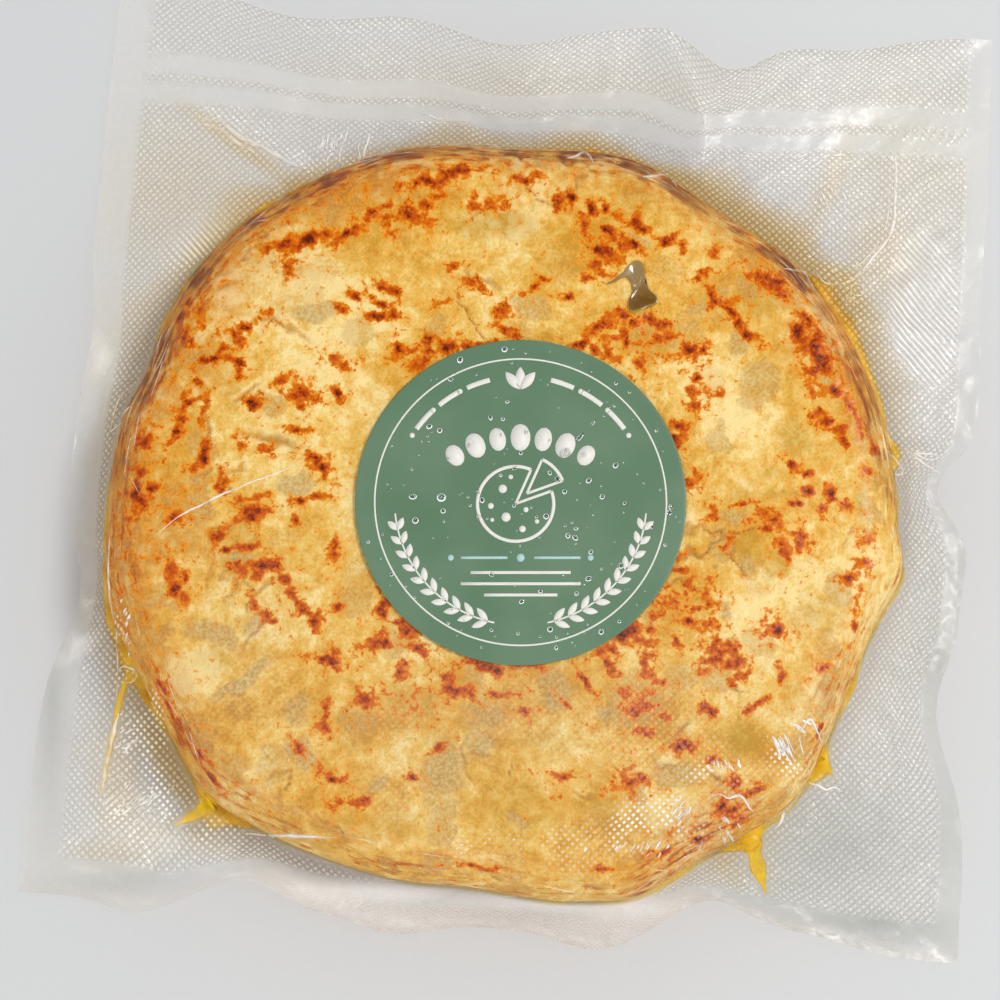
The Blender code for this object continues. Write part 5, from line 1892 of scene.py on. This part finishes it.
def dot(centre, radius):
    """A round dot: half its width is the circle's own chord."""
    share = np.linspace(-1, 1, 15)
    path = np.array(centre) + np.stack([share * radius, np.zeros_like(share)], axis=1)
    return path, np.maximum(radius * np.sqrt(1 - share ** 2), 0.02)


def straight(first, last, width):
    """A straight rule of even width."""
    path = np.linspace(first, last, 6)
    return path, np.full(len(path), width / 2)


def garland():
    """A garland of paired leaves along a lower arc, growing from its middle to both ends."""
    shapes = []
    for side in (-1, 1):
        shapes.append(arc_line(MOTIF_RADIUS, 270 + side * 12, 270 + side * 84, 0.5))
        for step in range(10):
            degrees = 270 + side * (15 + step * 6.8)
            root = on_label(MOTIF_RADIUS, degrees)
            heading = math.radians(degrees + side * 90)
            for splay in (0.62, -0.62):
                shapes.append(leaf(root, heading + splay, 5.2 - 0.12 * step, 2.0))
    return shapes


def omelette_badge():
    """A plain badge below the middle: a round omelette seen from above, with a slice drawn out of it."""
    middle = LABEL_CENTRE + (-1.5, -1.0)
    radius = 11.5
    slice_start = 20
    slice_end = 66
    degrees = np.radians(np.linspace(slice_end, slice_start + 360, 60))
    path = places_round(middle, radius, degrees)
    shapes = [(path, np.full(len(path), 0.5))]
    away = math.radians((slice_start + slice_end) / 2)
    for shift in (0.0, 4.6):
        corner = places_round(middle, shift, away)
        outer = places_round(corner, radius, np.radians(np.linspace(slice_start, slice_end, 12)))
        for end in (outer[0], outer[-1]):
            shapes.append(straight(corner, end, 0.8))
        if shift:
            shapes.append((outer, np.full(len(outer), 0.5)))
    for distance, angle, size in BADGE_DOTS:
        shapes.append(dot(places_round(middle, distance, math.radians(angle)), size))
    return shapes


def slice_row():
    """A bold row of potato slices on a shallow arc over the badge, each an upright oval of its own size."""
    shapes = []
    for number, (half_width, half_height) in enumerate(ROW_OF_SLICES):
        lean = math.radians(90 - (number - (len(ROW_OF_SLICES) - 1) / 2) * 10.5)
        place = on_label(MOTIF_RADIUS, math.degrees(lean)) - (0.0, SLICES_DOWN)
        share = np.linspace(-1, 1, 21)
        upright = np.array((math.cos(lean), math.sin(lean)))
        path = place + share[:, None] * half_height * upright
        shapes.append((path, np.maximum(half_width * np.sqrt(1 - share ** 2), 0.03)))
    return shapes


def print_piece(name, shapes, ink_name, colour):
    """One ink's shapes as low strips on the label, in one piece."""
    points, faces = joined([
        strip_body(path, width, 0.0, PRINT_THICKNESS, label_surface) for path, width in shapes])
    new_piece(name, points, [faces], {}, ink_material(ink_name, colour))


def build_print(settings):
    """The print: a ring line, a garland, a row of slices, a badge, short rules and one pale blue rule."""
    shapes = [arc_line(RING_LINE_RADIUS, 0, 360, 0.5)] + garland() + omelette_badge() + slice_row()
    for side in (-1, 1):
        for step in range(3):
            start = 14 + 15 * step
            shapes.append(arc_line(DASH_RADIUS, 90 + side * start, 90 + side * (start + 11), 1.5))
            shapes.append(dot(on_label(DASH_RADIUS, 90 + side * (start + 14.5)), 0.8))
    for turn in (50, 90, 130):
        shapes.append(leaf(LABEL_CENTRE + (0.0, 34.5), math.radians(turn), 7.0, 3.0))
    for height, half_length in SHORT_RULES:
        left, right = (LABEL_CENTRE + (side * half_length, height) for side in (-1, 1))
        shapes.append(straight(left, right, 0.9))
    print_piece("label_print", shapes, "off-white ink", plain(settings)["ink"])
    middle = LABEL_CENTRE + (0.0, BLUE_RULE_HEIGHT)
    rules = [dot(middle, 1.2)]
    for side in (-1, 1):
        rules.append(straight(middle + (side * 4.0, 0.0), middle + (side * 18.0, 0.0), 0.8))
        rules.append(dot(middle + (side * 21.0, 0.0), 0.9))
    print_piece("label_rule", rules, "pale blue ink", linear(178, 214, 214))


def build_drops(settings):
    """Condensation: low domes on the label, a few long ones where drops ran together.

    Each drop is a cap, cos and sin over its radius and half its width high, closed by its base.
    """
    random = np.random.default_rng(12)
    count = settings.drops
    radius = LABEL_RADIUS * 0.97 * np.sqrt(random.random(count))
    around = random.random(count) * 2 * math.pi
    centre = places_round(LABEL_CENTRE, radius, around)
    size = 0.2 + 0.7 * random.random(count) ** 2.8
    stretch = 1 + 0.5 * random.random(count) ** 2
    turn = random.random(count) * math.pi
    scattered = np.column_stack([centre, size, stretch, turn])
    large = LARGE_DROPS + (*LABEL_CENTRE, 0.0, 0.0, 0.0)
    centre_x, centre_y, size, stretch, turn = np.concatenate([scattered, large]).T
    rings = 5
    meridians = 14
    swing, lean = np.meshgrid(
        np.linspace(0, 2 * math.pi, meridians, False), np.linspace(0.12, math.pi / 2, rings))
    dome = np.stack([np.sin(lean) * np.cos(swing), np.sin(lean) * np.sin(swing), np.cos(lean)], axis=2)
    dome = with_poles(dome)
    dome[-1] = (0, 0, 0)
    dome[0] = (0, 0, 1)
    long_way = dome[None, :, 0] * (size * stretch)[:, None]
    short_way = dome[None, :, 1] * size[:, None]
    x = centre_x[:, None] + long_way * np.cos(turn)[:, None] - short_way * np.sin(turn)[:, None]
    y = centre_y[:, None] + long_way * np.sin(turn)[:, None] + short_way * np.cos(turn)[:, None]
    ground = label_surface(centre_x, centre_y)[:, None]
    z = ground + dome[None, :, 2] * (size * DROP_HEIGHT_SHARE)[:, None] + 0.02
    points = np.stack([x, y, z], axis=2).reshape(-1, 3)
    one = closed_skin_faces(rings, meridians)
    offsets = np.arange(len(size))[:, None, None] * len(dome)
    faces = [(part[None] + offsets).reshape(-1, part.shape[1]) for part in one]
    new_piece("condensation", points, faces, {}, water_material())


def soft_surroundings():
    """A pale room all round, darker overhead, so that the film doesn't mirror a white ceiling."""
    world = bpy.data.worlds.new("soft surroundings")
    world.use_nodes = True
    bench = NodeBench(world.node_tree)
    height = bench.add("ShaderNodeSeparateXYZ", {0: bench.add("ShaderNodeTexCoord").outputs["Generated"]})
    shade = bench.ramp(height.outputs[2], (
        (0.0, (0.92, 0.94, 0.96)), (0.45, (0.80, 0.82, 0.84)), (0.85, (0.08, 0.082, 0.085)),
        (1.0, (0.03,) * 3)))
    background = world.node_tree.nodes["Background"]
    bench.feed(background.inputs["Color"], shade)
    background.inputs["Strength"].default_value = 1.15
    return world


def add_lamp(name, power, size, azimuth, elevation):
    """A round lamp this many metres wide, aimed at the origin from an azimuth and elevation in degrees."""
    light = bpy.data.lights.new(name, "AREA")
    light.shape = "DISK"
    light.size = size
    light.energy = power
    light.color = (1.0, 0.985, 0.96)
    lamp = bpy.data.objects.new(name, light)
    turn = math.radians(azimuth)
    rise = math.radians(elevation)
    lamp.location = LAMP_DISTANCE * np.array(
        (math.cos(rise) * math.cos(turn), math.cos(rise) * math.sin(turn), math.sin(rise)))
    lamp.rotation_euler = (0, math.pi / 2 - rise, turn)
    bpy.context.scene.collection.objects.link(lamp)


def build_stage(settings):
    """The worktop, the soft key light, the pale surroundings and the camera."""
    scene = bpy.context.scene
    mesh = bpy.data.meshes.new("worktop")
    half = WORKTOP_HALF_WIDTH
    corners = [(-half, -half, 0), (half, -half, 0), (half, half, 0), (-half, half, 0)]
    mesh.from_pydata(corners, [], [(0, 1, 2, 3)])
    mesh.materials.append(floor_material(plain(settings)))
    floor = bpy.data.objects.new("worktop", mesh)
    floor.location.z = -0.05 * MM
    scene.collection.objects.link(floor)

    add_lamp("key_light", settings.key_power, 0.74, 14, 56)
    add_lamp("fill_light", settings.fill_power, 1.1, 245, 46)

    scene.world = soft_surroundings()

    camera = bpy.data.cameras.new("photo_camera")
    camera.lens = 85.0
    camera.sensor_width = 36.0
    camera.clip_start = 0.01
    viewer = bpy.data.objects.new("photo_camera", camera)
    viewer.location = CAMERA_PLACE
    viewer.rotation_euler = (settings.camera_tilt, 0, 0)
    scene.collection.objects.link(viewer)
    scene.camera = viewer
    scene.view_settings.view_transform = "Standard"


# Operators, panel and registration


class OMELETTE_OT_omelette(bpy.types.Operator):
    """Build the omelette"""

    bl_idname = "omelette.omelette"
    bl_label = "Omelette"

    def execute(self, context):
        build_omelette(context.scene.omelette_settings)
        return {"FINISHED"}


class OMELETTE_OT_film(bpy.types.Operator):
    """Build the clear film round the omelette"""

    bl_idname = "omelette.film"
    bl_label = "Clear film"

    def execute(self, context):
        build_film(context.scene.film_settings, context.scene.omelette_settings.relief)
        return {"FINISHED"}


class OMELETTE_OT_creases(bpy.types.Operator):
    """Build the fine ridges in the film"""

    bl_idname = "omelette.creases"
    bl_label = "Creases"

    def execute(self, context):
        build_creases(context.scene.film_settings, context.scene.omelette_settings.relief)
        return {"FINISHED"}


class OMELETTE_OT_juice(bpy.types.Operator):
    """Build the amber juice between the films, and the juice in the pit"""

    bl_idname = "omelette.juice"
    bl_label = "Juice"

    def execute(self, context):
        build_juice(context.scene.omelette_settings)
        build_tongues(context.scene.omelette_settings, context.scene.omelette_settings.relief)
        build_pool(context.scene.omelette_settings.relief)
        return {"FINISHED"}


class OMELETTE_OT_label(bpy.types.Operator):
    """Build the label and its print"""

    bl_idname = "omelette.label"
    bl_label = "Label and print"

    def execute(self, context):
        build_label(context.scene.label_settings)
        build_print(context.scene.label_settings)
        return {"FINISHED"}


class OMELETTE_OT_drops(bpy.types.Operator):
    """Build the condensation on the label"""

    bl_idname = "omelette.drops"
    bl_label = "Condensation"

    def execute(self, context):
        build_drops(context.scene.label_settings)
        return {"FINISHED"}


class OMELETTE_OT_stage(bpy.types.Operator):
    """Build the worktop, the light and the camera"""

    bl_idname = "omelette.stage"
    bl_label = "Stage"

    def execute(self, context):
        build_stage(context.scene.stage_settings)
        return {"FINISHED"}


OPERATORS = (
    OMELETTE_OT_omelette, OMELETTE_OT_film, OMELETTE_OT_creases, OMELETTE_OT_juice, OMELETTE_OT_label,
    OMELETTE_OT_drops, OMELETTE_OT_stage,
)


class OMELETTE_PT_panel(bpy.types.Panel):
    """The sidebar panel that lists the pieces"""

    bl_label = "Vacuum-packed omelette"
    bl_idname = "OMELETTE_PT_panel"
    bl_space_type = "VIEW_3D"
    bl_region_type = "UI"
    bl_category = "Omelette"

    def draw(self, context):
        for operator in OPERATORS:
            self.layout.operator(operator.bl_idname)
        for name in SETTINGS:
            box = self.layout.box()
            group = getattr(context.scene, name)
            for setting in group.__annotations__:
                box.prop(group, setting)


SETTINGS = {
    "omelette_settings": OmeletteSettings,
    "film_settings": FilmSettings,
    "label_settings": LabelSettings,
    "stage_settings": StageSettings,
}
CLASSES = (*SETTINGS.values(), *OPERATORS, OMELETTE_PT_panel)


def register():
    """Register the classes and put the settings on the scene."""
    for item in CLASSES:
        bpy.utils.register_class(item)
    for name, group in SETTINGS.items():
        setattr(bpy.types.Scene, name, bpy.props.PointerProperty(type=group))


def unregister():
    """Take the settings off the scene and unregister the classes."""
    for name in SETTINGS:
        delattr(bpy.types.Scene, name)
    for item in reversed(CLASSES):
        bpy.utils.unregister_class(item)


def main():
    """Build every piece and the stage."""
    register()
    bpy.ops.omelette.omelette()
    bpy.ops.omelette.film()
    bpy.ops.omelette.creases()
    bpy.ops.omelette.juice()
    bpy.ops.omelette.label()
    bpy.ops.omelette.drops()
    bpy.ops.omelette.stage()


if __name__ == "__main__":
    main()
